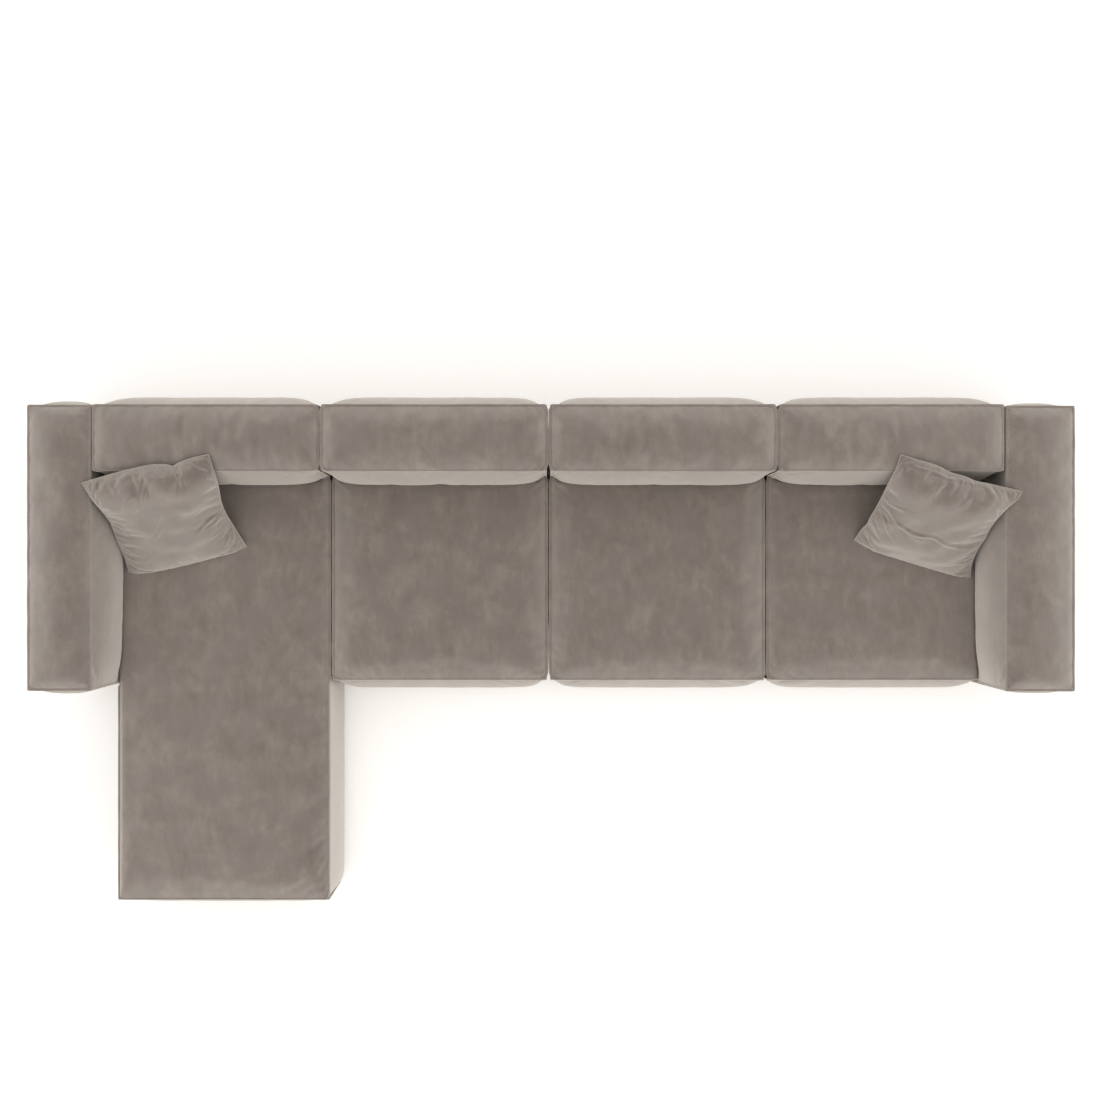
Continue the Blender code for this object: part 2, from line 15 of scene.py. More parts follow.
import bmesh
import bpy
import numpy as np
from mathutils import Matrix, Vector

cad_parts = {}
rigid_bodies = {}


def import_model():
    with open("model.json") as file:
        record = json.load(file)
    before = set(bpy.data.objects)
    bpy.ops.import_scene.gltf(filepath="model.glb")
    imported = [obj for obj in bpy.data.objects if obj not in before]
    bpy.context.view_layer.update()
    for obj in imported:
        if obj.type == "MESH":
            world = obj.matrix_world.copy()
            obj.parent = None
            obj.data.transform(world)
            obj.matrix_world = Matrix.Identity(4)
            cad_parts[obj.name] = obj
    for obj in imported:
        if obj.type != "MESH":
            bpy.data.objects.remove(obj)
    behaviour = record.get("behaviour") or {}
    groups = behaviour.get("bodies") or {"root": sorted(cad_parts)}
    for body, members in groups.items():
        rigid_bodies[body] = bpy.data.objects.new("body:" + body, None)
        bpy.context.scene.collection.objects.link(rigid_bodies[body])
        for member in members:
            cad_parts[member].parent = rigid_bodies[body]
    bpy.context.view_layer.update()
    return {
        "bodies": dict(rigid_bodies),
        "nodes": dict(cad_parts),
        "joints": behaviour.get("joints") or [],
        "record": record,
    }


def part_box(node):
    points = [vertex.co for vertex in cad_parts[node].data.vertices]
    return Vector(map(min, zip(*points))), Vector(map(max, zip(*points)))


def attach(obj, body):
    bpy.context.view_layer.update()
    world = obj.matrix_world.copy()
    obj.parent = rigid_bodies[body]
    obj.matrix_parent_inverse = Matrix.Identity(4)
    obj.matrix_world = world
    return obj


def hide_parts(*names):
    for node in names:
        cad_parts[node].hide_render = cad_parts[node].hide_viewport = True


Array = np.ndarray
Piece = bpy.types.Object
Material = bpy.types.Material
Relief = Callable[[Array, Array], Array]
log = logging.getLogger("sofa")

# The CAD model's own heights and depths, in metres
PITCH = 0.900
HALF_ROW = 1.800
BACK_LINE = 0.747
BACK_DEPTH = 0.2575
UNDERSIDE = 0.030
SEAT_SEAM = 0.400
TOP_SEAM = 0.735
CONTACT = 0.402
LEAN = 0.018
COVER_WALL = 0.030
COVER_TOP = 0.028
FIT = 0.0003

THINNEST_FOAM = 0.002

# The fabric's relief, in metres: the waves and puckers of the top and of the sides, and how far puckers reach
TOP_WAVE, SIDE_WAVE = 0.16, 0.18
TOP_PUCKER, SIDE_PUCKER = 0.035, 0.04
TOP_PUCKER_FADES, SIDE_PUCKER_FADES = 0.022, 0.025
CALM_BESIDE_SEAM, CALM_AT_CORNER = 0.03, 0.01

# Cotton velvet as a cloth: light, hard to stretch, easy to bend, and held where the group of that name says
CLOTH = {
    "quality": 4,
    "mass": 0.25,
    "tension_stiffness": 25.0,
    "compression_stiffness": 25.0,
    "shear_stiffness": 8.0,
    "bending_stiffness": 0.8,
    "use_pressure": True,
    "vertex_group_mass": "held",
}

# Panels that swell less than this are held by what presses them
LEAST_SWELL = 0.01

# Two places nearer than this are one
TINY = 1e-6

# Stands in place of cube coordinates for the points of a cover's hollow
IN_HOLLOW = 9.0


class Side(Enum):
    """A face of a block: the axis that it faces along and the way it faces."""

    LEFT = (0, -1)
    RIGHT = (0, 1)
    FRONT = (1, -1)
    REAR = (1, 1)
    TOP = (2, 1)


# Finishes


def linear(hex_colour: str) -> tuple[float, float, float, float]:
    """Turn an sRGB hex colour, six digits after a hash sign, into linear RGBA with an alpha of 1."""
    channels = [int(hex_colour[i : i + 2], 16) / 255 for i in (1, 3, 5)]
    red, green, blue = [c / 12.92 if c <= 0.04045 else ((c + 0.055) / 1.055) ** 2.4 for c in channels]
    return red, green, blue, 1.0


def feed(tree: bpy.types.NodeTree, node: Any, inputs: dict[Any, Any]) -> None:
    """Fill a node's inputs, by name or number, each from a socket or with a plain value."""
    for key, value in inputs.items():
        if isinstance(value, bpy.types.NodeSocket):
            tree.links.new(value, node.inputs[key])
        else:
            node.inputs[key].default_value = value


def add_node(
    tree: bpy.types.NodeTree, kind: str, inputs: dict[Any, Any] | None = None, **settings: Any
) -> Any:
    """Add one node.

    Args:
        tree: The node tree.
        kind: The node's type name, after its usual first word.
        inputs: What goes into each input.
        settings: The node's own properties.

    Returns:
        The node.
    """
    made = tree.nodes.new("ShaderNode" + kind)
    for key, value in settings.items():
        setattr(made, key, value)
    feed(tree, made, inputs or {})
    return made


def seen_directly(tree: bpy.types.NodeTree) -> bpy.types.NodeSocket:
    """1 for what the camera sees, also in a reflection or through glass, and 0 for the light on the object."""
    light_path = add_node(tree, "LightPath").outputs
    seen = light_path["Is Camera Ray"]
    for way in ("Is Glossy Ray", "Is Transmission Ray"):
        seen = add_node(tree, "Math", {0: seen, 1: light_path[way]}, operation="MAXIMUM").outputs[0]
    return seen


class Paint:
    """A procedural material while it is put together, on the piece's own coordinates in metres."""

    def __init__(self, name: str) -> None:
        """Start it with one Principled shader, under the real material's name."""
        self.material = bpy.data.materials.new(name)
        self.material.use_nodes = True
        self.tree = self.material.node_tree
        self.shader = self.tree.nodes["Principled BSDF"]
        self.place = self.add("TexCoord").outputs["Object"]

    def add(self, kind: str, inputs: dict[Any, Any] | None = None, **settings: Any) -> Any:
        """Add one node to this material."""
        return add_node(self.tree, kind, inputs, **settings)

    def mapped(self, **inputs: Any) -> Any:
        """The coordinates, moved, turned or scaled."""
        return self.add("Mapping", {"Vector": self.place, **inputs}).outputs[0]

    def noise(
        self, size: float, detail: float = 2.0, rough: float = 0.5, place: Any = None, **more: Any
    ) -> Any:
        """Noise.

        Args:
            size: Its largest features, in metres.
            detail: How many finer layers lie on them.
            rough: The finer layers' share.
            place: Other coordinates than the piece's own.
            more: Further inputs.

        Returns:
            The value's socket.
        """
        vector = self.place if place is None else place
        inputs = {"Vector": vector, "Scale": 1 / size, "Detail": detail, "Roughness": rough, **more}
        return self.add("TexNoise", inputs).outputs["Fac"]

    def reckon(self, operation: str, *values: Any) -> Any:
        """One sum with one or two values."""
        return self.add("Math", dict(enumerate(values)), operation=operation).outputs[0]

    def ranged(self, value: Any, *limits: Any) -> Any:
        """A value carried from one range to another: from low, from high, to low, to high."""
        names = ("Value", "From Min", "From Max", "To Min", "To Max")
        return self.add("MapRange", dict(zip(names, (value, *limits)))).outputs["Result"]

    def mixed(self, factor: Any, first: Any, second: Any, colours: bool = False) -> Any:
        """Two values or two colours, mixed."""
        kind, number, result = ("RGBA", 6, 2) if colours else ("FLOAT", 2, 0)
        inputs = {0: factor, number: first, number + 1: second}
        return self.add("Mix", inputs, data_type=kind).outputs[result]

    def ramp(self, value: Any, *stops: tuple[float, str]) -> Any:
        """A colour by a value: each stop's place from 0 to 1 and its sRGB hex colour, from low to high."""
        made = self.add("ValToRGB", {"Fac": value})
        elements = made.color_ramp.elements
        while len(elements) < len(stops):
            elements.new(0.5)
        for element, (place, colour) in zip(elements, stops):
            element.position, element.color = place, linear(colour)
        return made.outputs["Color"]

    def finished(self, colour: Any, relief: tuple[Any, float, float] | None, **inputs: Any) -> Material:
        """Give the shader its inputs.

        Args:
            colour: The base colour.
            relief: A height, with the relief's strength and its depth in metres.
            inputs: Further inputs, with low lines for the spaces in their names.

        Returns:
            The material.
        """
        given = {"Base Color": colour} | {name.replace("_", " "): value for name, value in inputs.items()}
        if relief:
            bump = self.add("Bump", dict(zip(("Height", "Strength", "Distance"), relief)))
            given["Normal"] = bump.outputs["Normal"]
        feed(self.tree, self.shader, given)
        return self.material


@dataclass(frozen=True)
class Velvet:
    """Cotton velvet, woven and cut: a painted sheen makes it dark where one looks down into the pile, pale
    aslant.
    """

    name: str
    deep: str
    middle: str
    light: str
    plum: str
    # The painted sheen: its pale colour, and how much of it is mixed in as the surface is seen more aslant
    painted_sheen_colour: str = "#FFFAF3"
    painted_sheen_ramp: tuple[tuple[float, str], ...] = (
        (0.0, "#000000"), (0.02, "#1D1D1D"), (0.05, "#353535"), (0.1, "#4B4B4B"), (0.2, "#5E5E5E"),
        (0.3, "#656565"), (0.5, "#838383"), (0.6, "#979797"), (0.7, "#A0A0A0"), (0.8, "#A5A5A5"),
        (1.0, "#B4B4B4"),
    )
    patch_m: float = 0.11
    tint_m: float = 0.1375
    stroke_m: float = 0.030
    grain_m: float = 0.0035
    nap_m: float = 0.007

    def material(self) -> Material:
        """Patches where the pile lies one way or the other, strokes, fine grain, and a painted sheen."""
        paint = Paint(self.name)
        patches = paint.noise(self.patch_m, 4.0, 0.55, Distortion=0.6)
        turned = paint.mapped(Rotation=(0.3, 0.2, 0.5), Scale=(1.0, 0.45, 0.8))
        coarse = paint.mixed(0.45, patches, paint.noise(self.stroke_m, 5.0, 0.6, turned))
        tone = paint.mixed(0.16, coarse, paint.noise(self.grain_m, 2.0, 0.6))
        pile = paint.ramp(tone, (0.36, self.deep), (0.5, self.middle), (0.64, self.light))
        tint = paint.noise(self.tint_m, 3.0, place=paint.mapped(Location=(3.1, 1.7, 0.4)))
        pile = paint.mixed(paint.ranged(tint, 0.45, 0.65, 0.0, 0.55), pile, linear(self.plum), colours=True)
        # Painted sheen by the viewing angle, plus each point's painted light, pales or darkens the base colour
        painted_sheen_facing = paint.add("LayerWeight", {"Blend": 0.5}).outputs["Facing"]
        painted_light = paint.add("Attribute", attribute_name="painted_light").outputs["Fac"]
        paler = paint.reckon("ADD", paint.ramp(painted_sheen_facing, *self.painted_sheen_ramp), painted_light)
        return paint.finished(
            paint.mixed(paler, pile, linear(self.painted_sheen_colour), colours=True),
            (paint.noise(self.nap_m, 3.0), 0.35, 0.0012),
            Roughness=0.95,
            Specular_IOR_Level=0.15,
            Sheen_Weight=0.35,
            Sheen_Roughness=0.35,
            Sheen_Tint=linear("#F4EBDD"),
        )


@dataclass(frozen=True)
class Pine:
    """Planed pine: pale growth bands with darker late wood, and a low satin gloss."""

    name: str = "planed pine"
    band_m: float = 0.011

    def material(self) -> Material:
        """Long bands along the rails, with fine fibre over them."""
        paint = Paint(self.name)
        wave = {"Vector": paint.mapped(Scale=(0.12, 1.0, 1.0)), "Scale": 0.1 / self.band_m, "Distortion": 3.5}
        wave |= {"Detail": 3.0, "Detail Scale": 1.4}
        bands = paint.add("TexWave", wave, wave_type="RINGS", rings_direction="X").outputs["Fac"]
        colour = paint.ramp(bands, (0.1, "#D9BE92"), (0.65, "#C9A979"), (0.95, "#A67F4E"))
        fibre = paint.noise(1.0, place=paint.mapped(Scale=(30.0, 420.0, 420.0)))
        return paint.finished(colour, (fibre, 0.25, 0.0005), Roughness=0.6)


@dataclass(frozen=True)
class CutFoam:
    """Polyurethane foam, cut with a wire: open cells that make a fine, matt, pitted face."""

    name: str = "cut polyurethane foam"
    cell_m: float = 0.003

    def material(self) -> Material:
        """Cells drawn three times as coarse as real ones, so that they show."""
        paint = Paint(self.name)
        cells = paint.add("TexVoronoi", {"Vector": paint.place, "Scale": 1 / self.cell_m}).outputs["Distance"]
        colour = paint.ramp(cells, (0.0, "#CFC4A4"), (0.45, "#E6DEC6"), (1.0, "#F0E9D5"))
        return paint.finished(colour, (cells, 0.5, 0.001), Roughness=0.95)


@dataclass(frozen=True)
class ElasticWebbing:
    """Woven elastic webbing: fine ribs across the strap and two paler threads along it."""

    name: str = "woven elastic webbing"
    rib_m: float = 0.004
    dark: str = "#4A463F"
    pale: str = "#8C8474"

    def material(self) -> Material:
        """Ribs follow the strap's own map: U runs along it in metres, V across it from 0 to 1."""
        paint = Paint(self.name)
        strap = paint.add("SeparateXYZ", {"Vector": paint.add("UVMap", uv_map="strap").outputs[0]}).outputs
        ribs = paint.reckon("SINE", paint.reckon("MULTIPLY", strap["X"], 2 * math.pi / self.rib_m))
        aside = paint.reckon("ABSOLUTE", paint.reckon("SUBTRACT", strap["Y"], 0.5))
        colour = paint.ramp(aside, (0.27, self.dark), (0.29, self.pale), (0.32, self.pale), (0.34, self.dark))
        return paint.finished(colour, (ribs, 0.6, 0.0006), Roughness=0.85)


@dataclass(frozen=True)
class ZincPlate:
    """Zinc plated steel sheet: cool grey, with soft clouding in its gloss."""

    name: str = "zinc plated steel"
    cloud_m: float = 0.012

    def material(self) -> Material:
        """Cloudy roughness over a metal colour."""
        paint = Paint(self.name)
        clouds = paint.noise(self.cloud_m, 4.0)
        colour = paint.ramp(clouds, (0.3, "#9A9DA0"), (0.7, "#B9BBBC"))
        return paint.finished(colour, None, Roughness=paint.ranged(clouds, 0.0, 1.0, 0.28, 0.48), Metallic=1.0)


@dataclass(frozen=True)
class MouldedPlastic:
    """Black moulded polypropylene with a fine spark-eroded grain."""

    name: str = "black moulded polypropylene"
    grain_m: float = 0.0012
    scuff_m: float = 1 / 24

    def material(self) -> Material:
        """Fine grain in the bump, and scuffs that lighten the colour a little."""
        paint = Paint(self.name)
        colour = paint.ramp(paint.noise(self.scuff_m, 6.0), (0.5, "#1B1B1C"), (0.8, "#2C2C2D"))
        return paint.finished(colour, (paint.noise(self.grain_m, 1.0), 0.3, 0.0003), Roughness=0.5)


@dataclass(frozen=True)
class StudioPaper:
    """White seamless studio paper: it lights the object as a pale floor and is seen as pure white."""

    name: str = "white studio paper"
    lift: float = 0.195
    # The box under the sofa where the paper gets no glow, a painted shade, and how far it lies towards the rear
    painted_shade_half: tuple[float, float] = (1.95, 0.38)
    painted_shade_y: float = 0.5

    def material(self) -> Material:
        """A diffuse white, lifted by a glow so that only shadows show on it; unlifted under the sofa: painted
        shade.
        """
        paint = Paint(self.name)
        paint.tree.nodes.remove(paint.shader)
        whites = ({"Color": linear(white)} for white in ("#F5F4F2", "#FFFFFF"))
        paper, seen_paper = (paint.add("BsdfDiffuse", white).outputs[0] for white in whites)
        # Painted shade: the glow is off over a box under the sofa, so the floor seen between its blocks shows
        # dark
        parts = paint.add("SeparateXYZ", {"Vector": paint.mapped(Location=(0.0, -self.painted_shade_y, 0.0))}).outputs
        outside = [
            paint.ranged(paint.reckon("ABSOLUTE", parts[axis]), half, half + 0.05, 0.0, self.lift)
            for axis, half in zip("XY", self.painted_shade_half)
        ]
        glow = {"Color": linear("#FFF9F2"), "Strength": paint.reckon("MAXIMUM", *outside)}
        lifted = paint.add("AddShader", {0: seen_paper, 1: paint.add("Emission", glow).outputs[0]}).outputs[0]
        both = paint.add("MixShader", {0: seen_directly(paint.tree), 1: paper, 2: lifted}).outputs[0]
        feed(paint.tree, paint.tree.nodes["Material Output"], {"Surface": both})
        return paint.material


# Shared shapes


def crowded(cells: int, crowding: float = 0.6) -> Array:
    """Places from -1 to 1 that stand closer together towards the ends: a straight line mixed with a sine.

    Args:
        cells: How many cells lie between the places.
        crowding: 0 for even places, 1 for a pure sine.

    Returns:
        The places, one more than the cells.
    """
    even = np.linspace(-1.0, 1.0, cells + 1)
    return (1 - crowding) * even + crowding * np.sin(np.pi * even / 2)


def rounding(distance: Array, reach: Array | float) -> Array:
    """0 at a seam and nearly 1 past a few reaches from it: one minus a falling exponential."""
    return 1 - np.exp(-np.maximum(distance, 0.0) / reach)


def eased(t: Array) -> Array:
    """0 to 1 with soft ends: three t squared minus two t cubed."""
    t = np.clip(t, 0.0, 1.0)
    return t * t * (3 - 2 * t)


def between(low: Any, high: Any, place: Array) -> Array:
    """The coordinate at a place from -1, at the low end, to 1, at the high one."""
    return low + (high - low) * (place + 1) / 2


def ripples(x: Array, y: Array, length: float, seed: int, waves: int = 9) -> Array:
    """Soft irregular undulation: sine waves that run in seeded directions, summed, with a spread near 1.

    Args:
        x: First coordinate in metres.
        y: Second coordinate in metres.
        length: The waves' mean length in metres.
        seed: Picks the directions, lengths and phases.
        waves: How many waves are summed.

    Returns:
        The height at each point.
    """
    rng = np.random.default_rng(seed)
    way = rng.uniform(0, 2 * np.pi, waves)
    rate = 2 * np.pi / (length * rng.uniform(0.7, 1.6, waves))
    phase = rng.uniform(0, 2 * np.pi, waves)
    along = x[..., None] * np.cos(way) + y[..., None] * np.sin(way)
    return np.sin(rate * along + phase).sum(axis=-1) / math.sqrt(waves / 2)


def puckers(along: Array, from_seam: Array, fades: float, length: float, seed: int) -> Array:
    """Short wrinkles square to a seam, which run out away from it and at the seam itself."""
    return np.exp(-from_seam / fades) * rounding(from_seam, 0.005) * ripples(along, 0 * along, length, seed)


def add_object(name: str, data: Any) -> Piece:
    """Put new data into the scene as an object."""
    made = bpy.data.objects.new(name, data)
    bpy.context.scene.collection.objects.link(made)
    return made


def mesh_object(name: str, points: Array, faces: list[Any], material: Material | None = None) -> Piece:
    """Make an object from points and faces, smooth shaded.

    Args:
        name: The piece's name.
        points: One row of three coordinates for each point, in the row frame.
        faces: Faces as lists of point numbers.
        material: The piece's material.

    Returns:
        The object, at the origin.
    """
    mesh = bpy.data.meshes.new(name)
    mesh.from_pydata(np.asarray(points, float).tolist(), [], [list(map(int, face)) for face in faces])
    mesh.update()
    mesh.shade_smooth()
    if material:
        mesh.materials.append(material)
    return add_object(name, mesh)


def face_outward(piece: Piece, sharp_deg: float | None = None) -> None:
    """Merge doubles and turn every face outward. Edges above the sharp angle stay sharp."""
    bm = bmesh.new()
    bm.from_mesh(piece.data)
    bmesh.ops.remove_doubles(bm, verts=bm.verts, dist=TINY)
    bmesh.ops.recalc_face_normals(bm, faces=bm.faces)
    bm.to_mesh(piece.data)
    bm.free()
    piece.data.shade_smooth()
    if sharp_deg is not None:
        piece.data.set_sharp_from_angle(angle=math.radians(sharp_deg))


def quads(number: Array) -> Array:
    """The quads of a grid of point numbers, row by row."""
    corners = [number[:-1, :-1], number[1:, :-1], number[1:, 1:], number[:-1, 1:]]
    return np.stack(corners, axis=-1).reshape(-1, 4)


def ring_faces(number: Array, looped: bool = False) -> list[Any]:
    """Quads between neighbouring rings of points.

    Args:
        number: The points' numbers, with a row for each ring.
        looped: Whether the last ring joins the first.

    Returns:
        The quads.
    """
    number = np.hstack([number, number[:, :1]])
    number = np.vstack([number, number[:1]]) if looped else number
    return quads(number)[:, [0, 3, 2, 1]].tolist()


def numbered(first: int, rings: int, count: int) -> Array:
    """The point numbers of some rings with the same count of points, from a first number on."""
    return first + np.arange(rings * count).reshape(rings, count)


def welded_box(places: tuple[Array, Array, Array]) -> tuple[Array, Array]:
    """The skin of a cube without its underside, as one welded grid.

    Args:
        places: Cut places from -1 to 1 along each axis.

    Returns:
        The points in cube coordinates, and the quads.
    """
    points: list[Array] = []
    faces: list[Array] = []
    for side in Side:
        axis, sign = side.value
        b, c = (axis + 1) % 3, (axis + 2) % 3
        first, second = np.meshgrid(places[b], places[c], indexing="ij")
        grid = np.empty((*first.shape, 3))
        grid[..., axis], grid[..., b], grid[..., c] = sign, first, second
        faces.append(quads(numbered(sum(map(len, points)), *first.shape))[:, ::sign])
        points.append(grid.reshape(-1, 3))
    kept, inverse = np.unique(np.round(np.concatenate(points), 7), axis=0, return_inverse=True)
    return kept, inverse.reshape(-1)[np.concatenate(faces)]


def on_face(cube: Array, side: Side) -> Array:
    """Which of a cube's points lie on one of its faces."""
    axis, sign = side.value
    return np.abs(cube[:, axis] - sign) < TINY


def at_foot(cube: Array) -> Array:
    """Which of a cube's points lie at its foot."""
    return cube[:, 2] < -1 + TINY


@dataclass(frozen=True)
class Placement:
    """Where a block stands in the row frame, and how far it is turned about Z."""

    x: float
    y: float
    turned: float = 0.0

    def to_row(self, points: Array) -> Array:
        """Carry points from the block's own coordinates into the row frame."""
        cos, sin = math.cos(self.turned), math.sin(self.turned)
        moved = np.array(points, float)
        moved[:, 0] = self.x + cos * points[:, 0] - sin * points[:, 1]
        moved[:, 1] = self.y + sin * points[:, 0] + cos * points[:, 1]
        return moved


# Sewn covers


def settle(
    points: Array, faces: list[Any], held: Array, pressure: float, growth: float, cap: float, frames: int = 20
) -> Array:
    """Let a cover's fabric find its own shape with Blender's cloth: it is filled, and held at its seams.

    Args:
        points: The fabric's points.
        faces: Its faces.
        held: How firmly each point is held, from 0 to 1 in steps of a quarter.
        pressure: The filling's push.
        growth: How much longer the fabric is than the shape that it starts from, as a share.
        cap: How far a point may move, in metres.
        frames: How many frames the cloth runs.

    Returns:
        The points after the cloth has settled. They are the same in every run.
    """
    scene = bpy.context.scene
    fabric = mesh_object("settling", points, faces)
    group = fabric.vertex_groups.new(name="held")
    for quarter in (1, 2, 3, 4):
        group.add(np.flatnonzero(np.round(held * 4) == quarter).tolist(), quarter / 4, "REPLACE")
    cloth = fabric.modifiers.new("cloth", "CLOTH")
    for key, value in {**CLOTH, "uniform_pressure_force": pressure, "shrink_min": -growth}.items():
        setattr(cloth.settings, key, value)
    cloth.settings.effector_weights.gravity = 0.0
    cloth.collision_settings.use_collision = False
    cloth.point_cache.frame_end = frames
    for frame in range(1, frames + 1):
        scene.frame_set(frame)
    evaluated = fabric.evaluated_get(bpy.context.evaluated_depsgraph_get())
    moved = np.empty(len(points) * 3)
    evaluated.data.vertices.foreach_get("co", moved)
    moved = moved.reshape(-1, 3) - points
    bpy.data.objects.remove(fabric)
    scene.frame_set(1)
    far = np.linalg.norm(moved, axis=1, keepdims=True)
    return points + moved * (cap * np.tanh(far / cap) / np.maximum(far, 1e-9))


def smooth_velvet(cover: Piece, painted_light: Array) -> None:
    """Note how much paler each point of a cover is painted (painted light), turn its faces outward and smooth
    it.
    """
    paler = cover.data.attributes.new("painted_light", "FLOAT", "POINT")
    paler.data.foreach_set("value", painted_light.astype(np.float32))
    face_outward(cover)
    smooth = cover.modifiers.new("smooth velvet", "SUBSURF")
    smooth.levels = smooth.render_levels = 1
    smooth.use_limit_surface = False


@dataclass(frozen=True)
class Panel:
    """One upright panel of a cover, and the top seam along it.

    The swell is how far it stands past the seams' box, the shift how far the top seam does between its
    corners, where it turns within the turn, and the inset how far inside the box the panel starts. The welt
    is as wide as given and hangs by its droop, and the top panel rounds off within the border. Away from an
    upright seam the swell grows within the reach, or as an arch with that exponent; below the top seam it
    grows within the depth, over the slow depth with a brow that rounds off at once, or as a bow with that
    exponent, whose peak a skew above 1 moves up. Painted light makes the panel paler, or darker below 0, in
    place of more or less light on it, and the sweep paints it paler still from the top seam down.
    """

    swell: float = 0.0
    shift: float = 0.0
    inset: float = 0.0085
    welt: float = 0.0085
    droop_deg: float = 5.0
    turn: float = 0.012
    border: float = 0.022
    reach: float = 0.035
    arch: float = 0.0
    depth: float = 0.05
    slow: float = 0.0
    brow: float = 0.0
    bow: float = 0.0
    skew: float = 1.0
    painted_light: float = 0.0
    painted_light_sweep: float = 0.0

    def along(self, from_seam: Array, place: Array) -> Array:
        """The swell's share at a distance from the nearest upright seam, or at a place from -1 to 1."""
        return 1 - np.abs(place) ** self.arch if self.arch else rounding(from_seam, self.reach)

    def down(self, from_top: Array, from_foot: Array) -> Array:
        """The swell's share at a distance below the top seam and above the foot."""
        if self.bow:
            return 1 - np.abs(2 * (from_foot / (from_top + from_foot)) ** self.skew - 1) ** self.bow
        top = rounding(from_top, self.depth)
        if self.slow:
            top = (1 - self.brow) * np.sin(np.pi / 2 * np.clip(from_top / self.slow, 0, 1)) ** 1.6
            top += self.brow * rounding(from_top, 0.010)
        return top * rounding(from_foot, 0.022)


@dataclass
class VelvetBlock:
    """A block with a sewn velvet cover: padded panels that meet in flat welts, open underneath.

    The seams' box is the CAD block's, or stands out from it at low X, low Y, high X and high Y as given,
    while the hollow stays the CAD's. The panels start inside the box by their insets and swell past it. A
    side that has a neighbour only at the rear is free in front of a place, with another panel there.
    """

    name: str
    node: str
    body: str
    place: Placement
    low: tuple[float, float, float]
    high: tuple[float, float, float]
    panels: dict[Side, Panel]
    cells: tuple[int, int, int]
    seed: int
    crown: float = 0.008
    border_rise: float = 0.0270
    welt_thickness: float = 0.0030
    undulation: float = 0.0008
    pucker: float = 0.0007
    pressure: float = 1.2
    growth: float = 0.006
    cap: float = 0.005
    free: dict[Side, tuple[float, Panel]] = field(default_factory=dict)
    outgrown: tuple[float, float, float, float] = (0.0, 0.0, 0.0, 0.0)
    inner_lean: Relief | None = None
    inner_swell: Relief | None = None
    top_wrinkles: Relief | None = None

    def corners(self) -> tuple[Array, Array]:
        """The panels' own box: the seams' box drawn in by each panel's inset."""
        low, high = np.array(self.low), np.array(self.high)
        low[:2] += self.panels[Side.LEFT].inset, self.panels[Side.FRONT].inset
        high[:2] -= self.panels[Side.RIGHT].inset, self.panels[Side.REAR].inset
        return low, high

    def freed(self, side: Side, y: Array, beside: Any, alone: Callable[[Panel], Any]) -> Array:
        """A value along a side, which changes within a few centimetres where its neighbour ends.

        Args:
            side: Which side.
            y: Places across the block.
            beside: The value beside the neighbour.
            alone: Reads the value from the panel that is free.

        Returns:
            The value at each place.
        """
        if side not in self.free:
            return beside + np.zeros_like(y)
        start, panel = self.free[side]
        return beside + eased((start - y) / 0.02) * (alone(panel) - beside)

    def shift(self, x: Array, y: Array) -> list[Array]:
        """How far the seams stand out along X and Y: each side's shift, which grows from a corner on."""
        halves = [(high - low) / 2 for low, high in zip(self.low, self.high)]
        middles = [(low + high) / 2 for low, high in zip(self.low, self.high)]
        places = [np.clip((p - middles[i]) / halves[i], -1, 1) for i, p in enumerate((x, y))]
        shifts = []
        for axis, sides in enumerate(((Side.LEFT, Side.RIGHT), (Side.FRONT, Side.REAR))):
            here, from_corner = places[axis], halves[1 - axis] * (1 - np.abs(places[1 - axis]))
            panels = [self.panels[side] for side in sides]
            before, after = (p.shift * eased(1.6 * from_corner / p.turn - 0.6) for p in panels)
            shifts.append(np.where(here < 0, -before, after) * np.abs(here) ** 8)
        return shifts

    def skin(self, cube: Array) -> Array:
        """The cover's outer face.

        A point of the cube's skin goes to the panels' box. Each panel then moves out along its own way by its
        swell, which rounds off towards the panel's seams, with soft undulation and puckers beside the seams.

        Args:
            cube: Points on the cube's skin, from -1 to 1.

        Returns:
            The points in the block's own coordinates.
        """
        low, high = self.corners()
        u, v, w = cube.T
        x, z = between(low[0], high[0], u), between(low[2], high[2], w)
        y = between(low[1] + (self.inner_lean(x, z) if self.inner_lean else 0.0), high[1], v)
        from_x, from_y = ((high[i] - low[i]) * (1 - np.abs(place)) / 2 for i, place in enumerate((u, v)))
        from_top, from_foot = high[2] - z, z - low[2]
        border = {side: panel.border for side, panel in self.panels.items()}
        soft = rounding(from_x, np.where(u < 0, border[Side.LEFT], border[Side.RIGHT]))
        soft = soft * rounding(from_y, np.where(v < 0, border[Side.FRONT], border[Side.REAR]))
        rise = self.border_rise * soft + self.crown * (1 - u**2) * (1 - v**2)
        rise += self.undulation * ripples(x, y, TOP_WAVE, self.seed) * soft
        beside_x = puckers(y, from_x, TOP_PUCKER_FADES, TOP_PUCKER, self.seed + 1)
        beside_y = puckers(x, from_y, TOP_PUCKER_FADES, TOP_PUCKER, self.seed + 6)
        rise += self.pucker * (beside_x + beside_y)
        if self.top_wrinkles:
            rise += self.top_wrinkles(x, y) * soft
        out = {Side.TOP: rise * on_face(cube, Side.TOP)}
        for side, panel in self.panels.items():
            across = side in (Side.FRONT, Side.REAR)
            place, from_seam, along = (u, from_x, x) if across else (v, from_y, y)
            amount = self.inner_swell(x, z) if side is Side.FRONT and self.inner_swell else panel.swell

            def swollen(shape: Panel, amount: Array | float = amount, start: float = panel.inset) -> Array:
                """How far the panel stands out of its plane."""
                return (amount + start) * shape.along(from_seam, place) * shape.down(from_top, from_foot)

